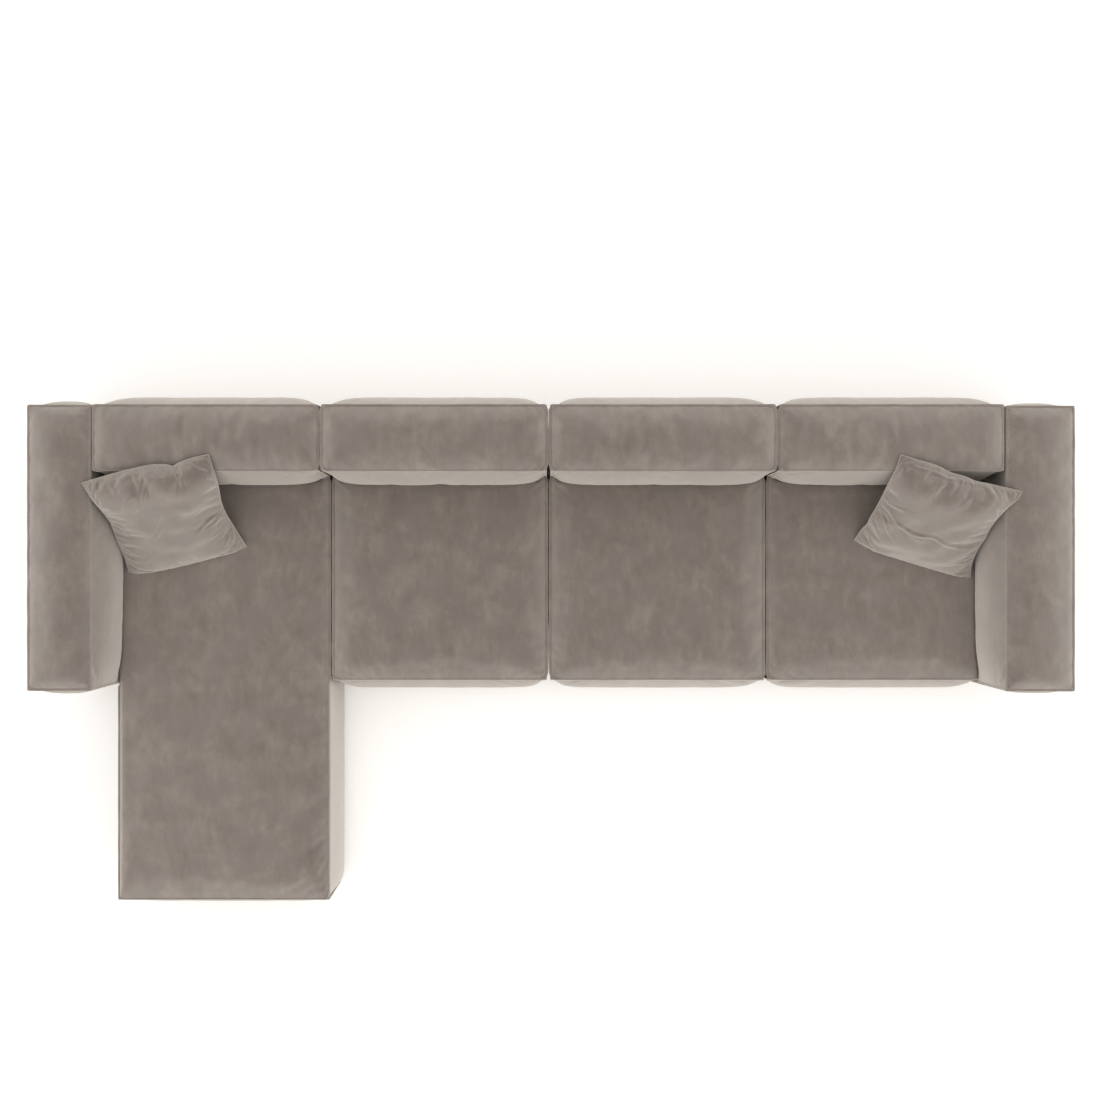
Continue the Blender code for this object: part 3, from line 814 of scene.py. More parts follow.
            swell = self.freed(side, y, swollen(panel), lambda other: swollen(other, other.swell))
            out[side] = (swell + self.side_relief(along, z, from_seam, side)) * on_face(cube, side)
        shift_x, shift_y = self.shift(x, y)
        x, y = x + shift_x + out[Side.RIGHT] - out[Side.LEFT], y + shift_y + out[Side.REAR] - out[Side.FRONT]
        return np.stack([x, y, z + out[Side.TOP]], axis=-1)

    def painted_light(self, cube: Array) -> Array:
        """How much paler, or darker below 0, each point of the skin is painted: painted light in place of real
        light.
        """
        y = between(self.low[1], self.high[1], cube[:, 1])
        paler = np.zeros(len(cube))
        for side, panel in self.panels.items():
            inside = on_face(cube, side) & ~on_face(cube, Side.TOP)
            paler += inside * self.freed(side, y, panel.painted_light, lambda other: other.painted_light)
            paler += inside * panel.painted_light_sweep * eased((1 - cube[:, 2]) / 0.8)
        return paler

    def side_relief(self, s: Array, z: Array, from_s: Array, side: Side) -> Array:
        """Undulation of an upright panel, with puckers beside its seams.

        Args:
            s: Distance along the panel.
            z: Height.
            from_s: Distance from the nearest upright seam.
            side: Which panel.

        Returns:
            The relief in metres.
        """
        seed = self.seed + 20 + 7 * list(Side).index(side)
        from_top, from_foot = self.high[2] - z, z - self.low[2]
        inside = np.prod([rounding(far, CALM_BESIDE_SEAM) for far in (from_s, from_top, from_foot)], axis=0)
        relief = 0.5 * self.undulation * ripples(s, z, SIDE_WAVE, seed) * inside
        for along, from_seam, from_corner, more in ((s, from_top, from_s, 1), (z, from_s, from_top, 2)):
            wrinkled = puckers(along, from_seam, SIDE_PUCKER_FADES, SIDE_PUCKER, seed + more)
            relief += self.pucker * rounding(from_corner, CALM_AT_CORNER) * wrinkled
        return relief

    def held(self, cube: Array) -> Array:
        """1 where the cloth is held, on the seams, at the foot and where a neighbour presses, 0 elsewhere."""
        at_end = np.abs(np.abs(cube) - 1) < TINY
        fixed = (at_end.sum(axis=1) > 1) | at_foot(cube)
        for side, panel in self.panels.items():
            pressed = panel.swell < LEAST_SWELL and not (side is Side.FRONT and self.inner_swell)
            fixed |= pressed & on_face(cube, side)
        if self.inner_swell and self.inner_lean:
            x, height = (between(self.low[i], self.high[i], cube[:, i]) for i in (0, 2))
            pressed = (height < CONTACT + 0.03) | (self.inner_lean(x, CONTACT + 0 * x) > -TINY)
            fixed |= on_face(cube, Side.FRONT) & pressed
        return fixed.astype(float)

    def build(self, velvet: Material) -> list[Piece]:
        """Make the cover and its welts, and put them in the CAD cover's place.

        Args:
            velvet: The cover's material.

        Returns:
            The cover and the welts.
        """
        cube, faces = welded_box(tuple(crowded(cells) for cells in self.cells))
        faces = faces.tolist()
        skin = self.place.to_row(self.skin(cube))
        points = settle(skin, faces, self.held(cube), self.pressure, self.growth, self.cap)
        points, faces, liner = self.close_underneath(cube, points, faces)
        cover = mesh_object(self.name, points, faces, velvet)
        self.crease_seams(cover, np.concatenate([cube, np.full((liner, 3), IN_HOLLOW)]))
        smooth_velvet(cover, np.concatenate([self.painted_light(cube), np.zeros(liner)]))
        welts = self.build_welts(velvet)
        for piece in (cover, welts):
            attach(piece, self.body)
        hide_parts(self.node)
        return [cover, welts]

    def crease_seams(self, cover: Piece, cube: Array) -> None:
        """Keep the edges where two panels meet, and those of the hollow, sharp when the cover is smoothed.

        Args:
            cover: The cover.
            cube: Its points in cube coordinates, with the mark for the hollow's points.
        """
        mesh = cover.data
        ends = np.empty(len(mesh.edges) * 2, int)
        mesh.edges.foreach_get("vertices", ends)
        first, second = cube[ends[::2]], cube[ends[1::2]]
        shared = (np.abs(first - second) < TINY) & (np.abs(np.abs(first) - 1) < TINY)
        hollow = np.minimum(first[:, 0], second[:, 0]) == IN_HOLLOW
        crease = ((shared.sum(axis=1) > 1) | (at_foot(first) & at_foot(second)) | hollow).astype(np.float32)
        mesh.attributes.new("crease_edge", "FLOAT", "EDGE").data.foreach_set("value", crease)

    def close_underneath(self, cube: Array, points: Array, faces: list[Any]) -> tuple[Array, list[Any], int]:
        """Turn the cover's foot in to the hollow, and line the hollow, so that the cover is closed.

        Args:
            cube: The skin's points in cube coordinates.
            points: The skin's points in the row frame.
            faces: The skin's faces.

        Returns:
            All points, all faces, and how many points line the hollow.
        """
        foot = np.flatnonzero(at_foot(cube))
        low, high = np.array(self.low), np.array(self.high)
        low[:2] += self.outgrown[:2]
        high[:2] -= self.outgrown[2:]
        ring = foot[np.argsort(np.arctan2(cube[foot, 1], cube[foot, 0]), kind="stable")]
        rim = (low + high) / 2 + ((high - low) / 2 - COVER_WALL) * cube[ring]
        rim[:, 2] = low[2]
        ceiling = rim.copy()
        ceiling[:, 2] = high[2] - COVER_TOP
        number = np.vstack([ring, numbered(len(points), 2, len(ring))])
        liner = self.place.to_row(np.concatenate([rim, ceiling]))
        return np.concatenate([points, liner]), faces + ring_faces(number) + [number[2].tolist()], len(liner)

    def seam_loop(self) -> tuple[Array, Array, Array, Array]:
        """The top seam as a rounded rectangle.

        Returns:
            The seam's points, and at each the outward way, the welt's droop in radians and its width.
        """
        low, high = self.corners()
        step, radius = 0.006, 0.0015
        corners = np.array([(low[0], low[1]), (high[0], low[1]), (high[0], high[1]), (low[0], high[1])])
        outward = np.array([(0.0, -1.0), (1.0, 0.0), (0.0, 1.0), (-1.0, 0.0)])
        path: list[Array] = []
        ways: list[Array] = []
        owners: list[Array] = []
        for number in range(4):
            after = (number + 1) % 4
            a, b, way, following = corners[number], corners[after], outward[number], outward[after]
            length = float(np.linalg.norm(b - a))
            count = max(2, round(length / step))
            t = np.linspace(radius / length, 1 - radius / length, count)
            turn = np.linspace(0, np.pi / 2, 9)[1:-1, None]
            bend = np.cos(turn) * way + np.sin(turn) * following
            path += [a + (b - a) * t[:, None], b + radius * (bend - way - following)]
            ways += [np.tile(way, (count, 1)), bend]
            owners += [np.full(count, float(number)), np.linspace(number, number + 1, 9)[1:-1]]
        line, owner = np.concatenate(path), np.concatenate(owners)
        first, here = np.minimum(owner.astype(int), 3), np.arange(len(line))

        def along_seam(read: Callable[[Panel], float]) -> Array:
            """A panel's value at each point of the seam, blended round the corners."""
            sides = (Side.FRONT, Side.RIGHT, Side.REAR, Side.LEFT, Side.FRONT)
            values = np.stack([self.freed(side, line[:, 1], read(self.panels[side]), read) for side in sides])
            return values[first, here] + (owner - first) * (values[first + 1, here] - values[first, here])

        droop = along_seam(lambda panel: math.radians(panel.droop_deg))
        width = along_seam(lambda panel: panel.welt)
        return line + np.stack(self.shift(line[:, 0], line[:, 1]), axis=-1), np.concatenate(ways), droop, width

    def build_welts(self, velvet: Material) -> Piece:
        """The flat sewn edges: one round the top seam, four down the upright corners.

        A flat section with a rounded tip is carried along each seam. It hangs by its droop and wavers a little.

        Args:
            velvet: The cover's material.

        Returns:
            The welts as one piece.
        """
        line, way, droop, width = self.seam_loop()
        thick = self.welt_thickness / 2
        reach, lift = self.welt_section(width.max(), thick)
        bent = (droop + 0.05 * ripples(line[:, 0], line[:, 1], 0.14, self.seed + 60))[:, None]
        wave = 1 + 0.03 * ripples(line[:, 0], line[:, 1], 0.12, self.seed + 61)
        reach = reach * (1 + ((wave * width / width.max())[:, None] - 1) * (reach > 0))
        out = reach * np.cos(bent) + lift * np.sin(bent)
        up = -reach * np.sin(bent) + lift * np.cos(bent)
        xy = line[:, None, :] + way[:, None, :] * out[..., None]
        parts = [np.concatenate([xy, self.high[2] + up[..., None]], axis=-1).reshape(-1, 3)]
        faces = ring_faces(numbered(0, *out.shape), looped=True)
        for corner in range(4):
            upright, upright_faces = self.upright_welt(corner, sum(map(len, parts)), thick)
            parts.append(upright)
            faces += upright_faces
        welts = mesh_object(self.name + "_welts", self.place.to_row(np.concatenate(parts)), faces, velvet)
        face_outward(welts)
        return welts

    def welt_section(self, width: float, thick: float) -> tuple[Array, Array]:
        """The welt's section: how far each point reaches out from the seam, and how high it lies."""
        tip = np.linspace(np.pi / 2, -np.pi / 2, 5)
        out = width - thick + thick * np.cos(tip)
        reach = np.concatenate([[-0.004, 0.0, 0.4 * width], out, [0.4 * width, 0.0, -0.004]])
        return reach, np.concatenate([[thick] * 3, thick * np.sin(tip), [-thick] * 3])

    def upright_welt(self, corner: int, first: int, thick: float) -> tuple[Array, list[Any]]:
        """A welt down one upright corner, from the panels' corner to the corner of the seams' box.

        Args:
            corner: 0 to 3, from the front left, counter-clockwise seen from above.
            first: The number of its first point.
            thick: Half the welt's thickness.

        Returns:
            Its points in the block's own coordinates, and its faces.
        """
        low, high = self.corners()
        side_x, side_y = [(-1, -1), (1, -1), (1, 1), (-1, 1)][corner]
        heights = np.linspace(low[2] + 0.004, high[2] - thick, 90)
        x = np.full_like(heights, low[0] if side_x < 0 else high[0])
        y = np.full_like(heights, low[1] if side_y < 0 else high[1])
        if self.inner_lean and side_y < 0:
            y = y + self.inner_lean(x, heights)
        inset_x = self.panels[Side.LEFT if side_x < 0 else Side.RIGHT].inset
        inset_y = self.panels[Side.FRONT if side_y < 0 else Side.REAR].inset
        far = math.hypot(inset_x, inset_y)
        way = np.array([side_x * inset_x, side_y * inset_y]) / far
        reach, lift = self.welt_section(max(0.003, far - 0.001), thick)
        taper = np.clip((heights - low[2]) / 0.03, 0.25, 1.0)[:, None]
        out = np.where(reach > 0, reach * taper, reach)
        side = lift + 0.0004 * ripples(heights, 0 * heights, 0.09, self.seed + 70 + corner)[:, None]
        x, y = x[:, None] + way[0] * out - way[1] * side, y[:, None] + way[1] * out + way[0] * side
        points = np.stack([x, y, heights[:, None] + 0 * out], axis=-1)
        number = numbered(first, *out.shape)
        return points.reshape(-1, 3), [*ring_faces(number), number[0].tolist(), number[-1].tolist()]


# The sofa's blocks

# Painted light: some panels below are painted paler, or darker, in place of more or less light falling on them
BESIDE_NEIGHBOUR = Panel(0.0, 0.0058, inset=0.0105, welt=0.0103, droop_deg=8.0, turn=0.028, border=0.026)
BESIDE_BACK = replace(BESIDE_NEIGHBOUR, shift=0.0066, welt=0.0107, turn=0.024)
BESIDE_ARM = Panel(droop_deg=8.0, reach=0.018, depth=0.03)
PRESSED = Panel(swell=0.0008, inset=0.0035, droop_deg=80.0, border=0.006, reach=0.012, depth=0.03)
FREE_LEFT = Panel(swell=0.0040, inset=0.0035, droop_deg=10.0, reach=0.03, slow=0.185)
DROOPING = Panel(inset=0.0015, droop_deg=62.0, turn=0.020)
FREE_RIGHT = replace(
    DROOPING, swell=0.0156, inset=0.0105, welt=0.0095, turn=0.012, reach=0.022, slow=0.185, brow=0.3,
    painted_light=0.19,
)
SEAT_FRONT = replace(DROOPING, swell=0.0415, shift=0.0025, border=0.030, reach=0.03, painted_light=0.02)
CHAISE_FRONT = replace(SEAT_FRONT, swell=0.036, shift=0.001, slow=0.185, painted_light=0.0)
BACK_FRONT = replace(DROOPING, shift=0.0050, border=0.024, reach=0.050, painted_light=-0.035)
ARM_INNER = replace(DROOPING, inset=0.0025, turn=0.012, border=0.032, reach=0.09, painted_light=-0.045, painted_light_sweep=0.12)

# How far a back's right side stands into the hollow left side of the next back, so that no light comes through
BULGE = 0.003


def seat_block(cell: int, name: str, reach: float, front: Panel, cells: tuple[int, int, int]) -> VelvetBlock:
    """One module's seat.

    Args:
        cell: Its place in the row, from 0 at the left.
        name: The module's name, which is its CAD body's too.
        reach: From the back line to its front seam.
        front: Its front panel.
        cells: Grid cells along X, Y and Z.

    Returns:
        The block, not built yet.
    """
    left = -HALF_ROW + cell * PITCH
    first, last = cell == 0, cell == 3
    beside_arm, gap = LEAN + 0.002, 0.006
    return VelvetBlock(
        name=name + "_seat",
        node=name + "_cover",
        body=name,
        place=Placement(0.0, BACK_LINE),
        low=(left + (beside_arm if first else gap), -reach, UNDERSIDE),
        high=(left + PITCH - (beside_arm if last else gap), -0.0035, SEAT_SEAM),
        panels={
            Side.LEFT: PRESSED if first else BESIDE_NEIGHBOUR,
            Side.RIGHT: PRESSED if last else BESIDE_NEIGHBOUR,
            Side.FRONT: front,
            Side.REAR: Panel(shift=-0.0225, inset=0.0015, droop_deg=85.0, turn=0.040, border=0.005),
        },
        cells=cells,
        seed=100 + 10 * cell,
        free={Side.LEFT: (-0.865, FREE_LEFT), Side.RIGHT: (-0.850, FREE_RIGHT)} if first else {},
    )


def inner_lean(z: Array) -> Array:
    """An inner face stands forward beside the seat, and draws back to the top seam."""
    return -LEAN * np.minimum(1.0, (TOP_SEAM - z) / (TOP_SEAM - CONTACT))


def inner_swell(z: Array, most: float = 0.044, above: float = 0.095, falling: float = 2.4) -> Array:
    """Flat beside the seat; above it the face swells, most of all at its peak, and falls back to the top seam.

    Args:
        z: Heights.
        most: How far the face stands past the top seam at its peak.
        above: How high the peak stands above the seat's seam.
        falling: The exponent of the curve from the peak to the top seam.

    Returns:
        The swell at each height.
    """
    peak = SEAT_SEAM + above
    rise = eased((z - CONTACT) / (peak - CONTACT))
    fall = 1 - np.clip((z - peak) / (TOP_SEAM - peak), 0, 1) ** falling
    return (most + inner_lean(z)) * np.where(z < peak, rise, fall)


def back_block(cell: int, name: str) -> VelvetBlock:
    """One module's back.

    Args:
        cell: Its place in the row, from 0 at the left.
        name: The module's name.

    Returns:
        The block, not built yet.
    """
    left = -HALF_ROW + cell * PITCH
    first, last = cell == 0, cell == 3
    middle_x = left + PITCH / 2

    def wrinkles(x: Array, y: Array) -> Array:
        """Faint creases from front to rear near mid-length."""
        near = np.exp(-(((x - middle_x) / 0.19) ** 2))
        return 0.0011 * near * ripples(x, 0.25 * y, 0.05, 900 + cell)

    return VelvetBlock(
        name=name + "_back",
        node=name + "_back_cover",
        body=name,
        place=Placement(0.0, BACK_LINE),
        low=(left + (0.007 if first else 0.006), 0.0, UNDERSIDE),
        high=(left + PITCH - (0.010 if last else 0.006), BACK_DEPTH, TOP_SEAM),
        outgrown=(0.008 if first else 0.0, 0.0, 0.005 if last else 0.0, 0.0),
        panels={
            Side.LEFT: replace(BESIDE_ARM, swell=0.0025) if first else replace(BESIDE_BACK, swell=-BULGE),
            Side.RIGHT: replace(BESIDE_ARM, swell=0.0055) if last else replace(BESIDE_BACK, swell=BULGE),
            Side.FRONT: BACK_FRONT,
            Side.REAR: Panel(swell=0.0390, shift=0.0030, border=0.024, reach=0.038, bow=2.6, skew=1.8),
        },
        cells=(56, 18, 40),
        seed=200 + 10 * cell,
        crown=0.006,
        border_rise=0.0235,
        inner_lean=lambda x, z: inner_lean(z) * rounding(PITCH / 2 - 0.006 - np.abs(x - middle_x), 0.020),
        inner_swell=lambda x, z: inner_swell(z),
        top_wrinkles=wrinkles,
    )


def arm_block(name: str, side: int) -> VelvetBlock:
    """An arm, in coordinates where it runs along X with its inner face towards -Y.

    Args:
        name: The arm's name, which is its CAD body's too.
        side: -1 on the left, 1 on the right.

    Returns:
        The block, not built yet.
    """
    length, thickness, setback, inner = 1.112, 0.258, 0.0045, 0.0025
    half, back_depth = length / 2, BACK_DEPTH - setback
    back_stands = half - back_depth - (LEAN + 0.002)
    if side < 0:
        outer, most, to_rear, to_front, rear_swell, front_swell = -0.0105, 0.056, 0.0040, 0.0085, 0.0240, 0.0175
    else:
        outer, most, to_rear, to_front, rear_swell, front_swell = 0.0090, 0.0505, 0.0005, 0.0105, 0.0185, 0.0140
    front_end = to_front, Panel(front_swell, arch=3.6, bow=2.8, skew=2.4)
    rear_end = to_rear, Panel(rear_swell, arch=3.6, bow=2.8, skew=1.8)
    (to_low, low_end), (to_high, high_end) = (front_end, rear_end) if side < 0 else (rear_end, front_end)

    def free(x: Array) -> Array:
        """1 where the inner face is free, 0 where the back stands against it."""
        return eased((back_stands + side * x) / 0.200)

    return VelvetBlock(
        name=name + "_block",
        node=name + "_cover",
        body=name,
        place=Placement(side * HALF_ROW, BACK_LINE + back_depth - half, -side * math.pi / 2),
        low=(-half - to_low, -inner, UNDERSIDE),
        high=(half + to_high, thickness + outer, TOP_SEAM),
        outgrown=(to_low, inner, to_high, outer),
        panels={
            Side.LEFT: low_end,
            Side.RIGHT: high_end,
            Side.FRONT: ARM_INNER,
            Side.REAR: Panel(swell=0.040, border=0.024, reach=0.045, bow=2.4),
        },
        cells=(70, 18, 40),
        seed=300 if side < 0 else 340,
        crown=0.006,
        border_rise=0.032,
        inner_lean=lambda x, z: (1 - inner / LEAN) * inner_lean(z) * free(x),
        inner_swell=lambda x, z: inner_swell(z, most, 0.047, 1.7) * free(x),
    )


# Throw pillows


def through(knots: Any, places: Array) -> Array:
    """A smooth curve through knots: cubic pieces whose slope at a knot is that between its two neighbours.

    Args:
        knots: The points that the curve passes, in order.
        places: Where to read the curve, from 0 to 1 of the knots' chord length.

    Returns:
        One point for each place.
    """
    knots = np.array(knots, float)
    steps = np.linalg.norm(np.diff(knots, axis=0), axis=1)
    reached = np.concatenate([[0.0], np.cumsum(steps)]) / steps.sum()
    slope = np.gradient(knots, reached, axis=0)
    piece = np.clip(np.searchsorted(reached, places, side="right") - 1, 0, len(knots) - 2)
    width = (reached[piece + 1] - reached[piece])[:, None]
    t = (places[:, None] - reached[piece][:, None]) / width
    start = (1 + 2 * t) * (1 - t) ** 2 * knots[piece] + t * (1 - t) ** 2 * width * slope[piece]
    return start + t * t * (3 - 2 * t) * knots[piece + 1] + t * t * (t - 1) * width * slope[piece + 1]


@dataclass(frozen=True)
class Fold:
    """A crease in a pillow's face: a ridge with a valley on each side, along a line of face coordinates."""

    line: tuple[tuple[float, float], ...]
    height: float = 0.004
    width: float = 0.010

    def raised(self, u: Array, v: Array, half: float) -> Array:
        """The ridge's height: an upside-down parabola across it under a bell, fading out at both ends.

        Args:
            u: Face coordinate to the right, from -1 to 1.
            v: Face coordinate upwards, from -1 to 1.
            half: Half the pillow's side.

        Returns:
            The height at each point.
        """
        places = np.linspace(0.0, 1.0, 60)
        line = through(self.line, places)
        far = np.hypot(u[..., None] - line[:, 0], v[..., None] - line[:, 1]) * half
        across = far.min(axis=-1) / self.width
        end = np.sin(np.pi * np.clip(places[far.argmin(axis=-1)], 0.02, 0.98)) ** 0.6
        return self.height * end * (1 - 1.2 * across**2) * np.exp(-(across**2))


@dataclass
class ThrowPillow:
    """A square velvet throw pillow with a knife edge, leaning in a corner of the sofa and bent over its arm.

    The lower, upper, left and right edges are given by points they pass, from each one's left or lower end.
    """

    name: str
    node: str
    body: str
    edges: tuple[tuple[tuple[float, float, float], ...], ...]
    folds: tuple[Fold, ...]
    seed: int
    half: float = 0.25
    front_depth: float = 0.058
    rear_depth: float = 0.046
    cells: int = 96
    piping: float = 0.0024
    # How much paler the piping's roll is painted: painted light
    rim_painted_light: float = 0.10
    pressure: float = 3.0
    growth: float = 0.035
    cap: float = 0.010

    def sheets(self) -> tuple[Array, Array, Array]:
        """The two faces before the fabric settles.

        The middle is a patch between the four edges: what opposite edges give together, less what the corners
        give. Each face stands off it by the filling, which is full in the middle and runs out at the edge.

        Returns:
            The points of both faces, and their two face coordinates.
        """
        places = crowded(self.cells, 0.35)
        s = (places + 1) / 2
        lower, upper, left, right = (through(edge, s) for edge in self.edges)
        a, b = s[:, None, None], s[None, :, None]
        middle = (1 - b) * lower[:, None] + b * upper[:, None] + (1 - a) * left[None] + a * right[None]
        middle -= (1 - a) * ((1 - b) * lower[0] + b * upper[0])
        middle -= a * ((1 - b) * lower[-1] + b * upper[-1])
        u, v = np.meshgrid(places, places, indexing="ij")
        way = np.cross(np.gradient(middle, s, axis=0), np.gradient(middle, s, axis=1))
        way = way / np.linalg.norm(way, axis=-1, keepdims=True)
        filled = ((1 - np.abs(u) ** 2.4) * (1 - np.abs(v) ** 2.4)) ** 0.72
        waves = 0.0022 * ripples(u * self.half, v * self.half, 0.10, self.seed) * filled
        front = middle + way * (self.front_depth * filled + waves + 0.0015)[..., None]
        rear = middle - way * (self.rear_depth * filled + 0.0015)[..., None]
        return np.concatenate([front.reshape(-1, 3), rear.reshape(-1, 3)]), u.ravel(), v.ravel()

    def rim(self) -> Array:
        """The numbers of the front face's points along its edge, once round."""
        number = numbered(0, self.cells + 1, self.cells + 1)
        return np.concatenate([number[0, :-1], number[:-1, -1], number[-1, :0:-1], number[:0:-1, 0]])

    def piped(self, points: Array) -> tuple[Array, list[Any]]:
        """A thin rolled edge: a circle carried along the seam between both faces.

        Args:
            points: The points of both faces.

        Returns:
            The roll's points, and its faces with numbers that follow on from the given points.
        """
        front, rear = points[self.rim()], points[self.rim() + len(points) // 2]
        line = (front + rear) / 2
        along = np.roll(line, -1, axis=0) - np.roll(line, 1, axis=0)
        along /= np.linalg.norm(along, axis=1, keepdims=True)
        up = front - rear
        up -= along * (along * up).sum(axis=1, keepdims=True)
        up /= np.linalg.norm(up, axis=1, keepdims=True)
        aside = np.cross(along, up)
        turn = np.linspace(0, 2 * np.pi, 8, endpoint=False)[None, :, None]
        roll = line[:, None] + self.piping * (np.cos(turn) * up[:, None] + np.sin(turn) * aside[:, None])
        return roll.reshape(-1, 3), ring_faces(numbered(len(points), *roll.shape[:2]), looped=True)

    def faces(self) -> list[Any]:
        """The quads of both faces and of the narrow edge between them."""
        number, rim = numbered(0, self.cells + 1, self.cells + 1), self.rim()
        face, after = quads(number), np.roll(rim, -1)
        edge = np.stack([rim, after, after + number.size, rim + number.size], axis=-1)
        return np.concatenate([face, face[:, ::-1] + number.size, edge]).tolist()

    def surface(self) -> Array:
        """Both faces after the fabric has settled round the filling, with the folds pressed into the front."""
        points, u, v = self.sheets()
        count = len(u)
        at_edge = np.maximum(np.abs(u), np.abs(v))
        held = np.where(at_edge > 1 - TINY, 1.0, np.where(at_edge > 0.97, 0.5, 0.0))
        held = np.concatenate([held, np.maximum(held, 0.25)])
        settled = settle(points, self.faces(), held, self.pressure, self.growth, self.cap)
        settled[count:] = points[count:] + 0.4 * (settled[count:] - points[count:])
        face = settled[:count].reshape(self.cells + 1, self.cells + 1, 3)
        way = np.cross(np.gradient(face, axis=0), np.gradient(face, axis=1)).reshape(-1, 3)
        way = way / np.maximum(np.linalg.norm(way, axis=-1, keepdims=True), 1e-12)
        raised = sum((fold.raised(u, v, self.half) for fold in self.folds), np.zeros(count))
        settled[:count] += way * (raised * eased((1 - at_edge) / 0.05))[:, None]
        return settled

    def build(self, velvet: Material) -> list[Piece]:
        """Make the pillow and put it in the CAD pillow's place.

        Args:
            velvet: The pillow's material.

        Returns:
            The pillow.
        """
        surface = self.surface()
        roll, roll_faces = self.piped(surface)
        pillow = mesh_object(self.name, np.concatenate([surface, roll]), self.faces() + roll_faces, velvet)
        smooth_velvet(pillow, np.repeat([0.0, self.rim_painted_light], [len(surface), len(roll)]))
        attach(pillow, self.body)
        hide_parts(self.node)
        return [pillow]


LEFT_EDGES = (
    (
        (-1.7311, 0.3429, 0.430), (-1.7010, 0.3362, 0.430), (-1.6709, 0.3362, 0.430), (-1.5958, 0.3478, 0.430),
        (-1.4959, 0.3701, 0.431), (-1.3709, 0.4027, 0.432), (-1.2809, 0.4279, 0.433), (-1.2458, 0.4477, 0.436),
    ),
    (
        (-1.8255, 0.6953, 0.757), (-1.7480, 0.7170, 0.765), (-1.6745, 0.7376, 0.772), (-1.6154, 0.7512, 0.776),
        (-1.5280, 0.7658, 0.780), (-1.4800, 0.7636, 0.774), (-1.4657, 0.7592, 0.770), (-1.4560, 0.7652, 0.771),
        (-1.4091, 0.7853, 0.776), (-1.3275, 0.8055, 0.772),
    ),
    (
        (-1.7311, 0.3429, 0.430), (-1.7340, 0.4055, 0.490), (-1.7420, 0.4620, 0.550), (-1.7460, 0.5157, 0.605),
        (-1.7473, 0.5374, 0.630), (-1.7630, 0.5842, 0.695), (-1.7868, 0.6303, 0.748), (-1.8255, 0.6953, 0.757),
    ),
    (
        (-1.2458, 0.4477, 0.436), (-1.2882, 0.5391, 0.515), (-1.3041, 0.5869, 0.575), (-1.3094, 0.6178, 0.610),
        (-1.3070, 0.6870, 0.690), (-1.3093, 0.7391, 0.757), (-1.3275, 0.8055, 0.772),
    ),
)
RIGHT_EDGES = (
    (
        (1.2598, 0.4716, 0.436), (1.3366, 0.4295, 0.432), (1.3890, 0.4114, 0.431), (1.4938, 0.3800, 0.431),
        (1.5987, 0.3486, 0.430), (1.7035, 0.3222, 0.430), (1.7400, 0.3222, 0.430),
    ),
    (
        (1.3759, 0.8039, 0.772), (1.4370, 0.7850, 0.776), (1.5270, 0.7560, 0.777), (1.5620, 0.7380, 0.774),
        (1.6290, 0.7174, 0.772), (1.6660, 0.7026, 0.766), (1.7100, 0.6930, 0.768), (1.7755, 0.6780, 0.766),
        (1.8498, 0.6609, 0.764),
    ),
    (
        (1.2598, 0.4716, 0.436), (1.2816, 0.5155, 0.480), (1.2972, 0.5429, 0.530), (1.2985, 0.5556, 0.550),
        (1.3217, 0.6203, 0.620), (1.3335, 0.6640, 0.670), (1.3467, 0.7166, 0.735), (1.3613, 0.7555, 0.760),
        (1.3759, 0.8039, 0.772),
    ),
    (
        (1.7400, 0.3222, 0.430), (1.7325, 0.3698, 0.475), (1.7325, 0.4118, 0.530), (1.7390, 0.4527, 0.580),
        (1.7490, 0.4783, 0.610), (1.7580, 0.5283, 0.672), (1.7634, 0.5430, 0.692), (1.7955, 0.5965, 0.752),
        (1.8370, 0.6360, 0.762), (1.8498, 0.6609, 0.764),
    ),
)
LEFT_FOLDS = (
    Fold(((0.02, 0.83), (-0.10, 0.72), (-0.17, 0.64), (-0.30, 0.48)), 0.0060, 0.010),
    Fold(((-0.30, 0.70), (-0.44, 0.64), (-0.57, 0.51)), 0.0040, 0.010),
    Fold(((-0.25, 0.64), (-0.37, 0.46)), 0.0040, 0.008),
    Fold(((0.96, -0.12), (0.79, -0.12), (0.64, -0.15), (0.44, -0.22)), 0.0065, 0.010),
    Fold(((0.94, -0.15), (0.83, -0.20), (0.76, -0.27)), 0.0045, 0.009),
    Fold(((0.96, -0.53), (0.91, -0.68), (0.79, -0.85)), 0.0060, 0.009),
    Fold(((0.86, -0.62), (0.72, -0.76)), 0.0045, 0.008),
    Fold(((-0.07, 0.34), (-0.22, -0.02)), 0.0030, 0.012),
    Fold(((-0.02, 0.10), (-0.27, -0.17)), 0.0030, 0.012),
    Fold(((-0.46, -0.48), (-0.62, -0.68)), 0.0020, 0.012),
    Fold(((-0.27, 0.94), (-0.44, 0.86)), 0.0045, 0.012),
    Fold(((-0.94, 0.17), (-0.85, 0.15), (-0.74, 0.05)), 0.0045, 0.012),
)
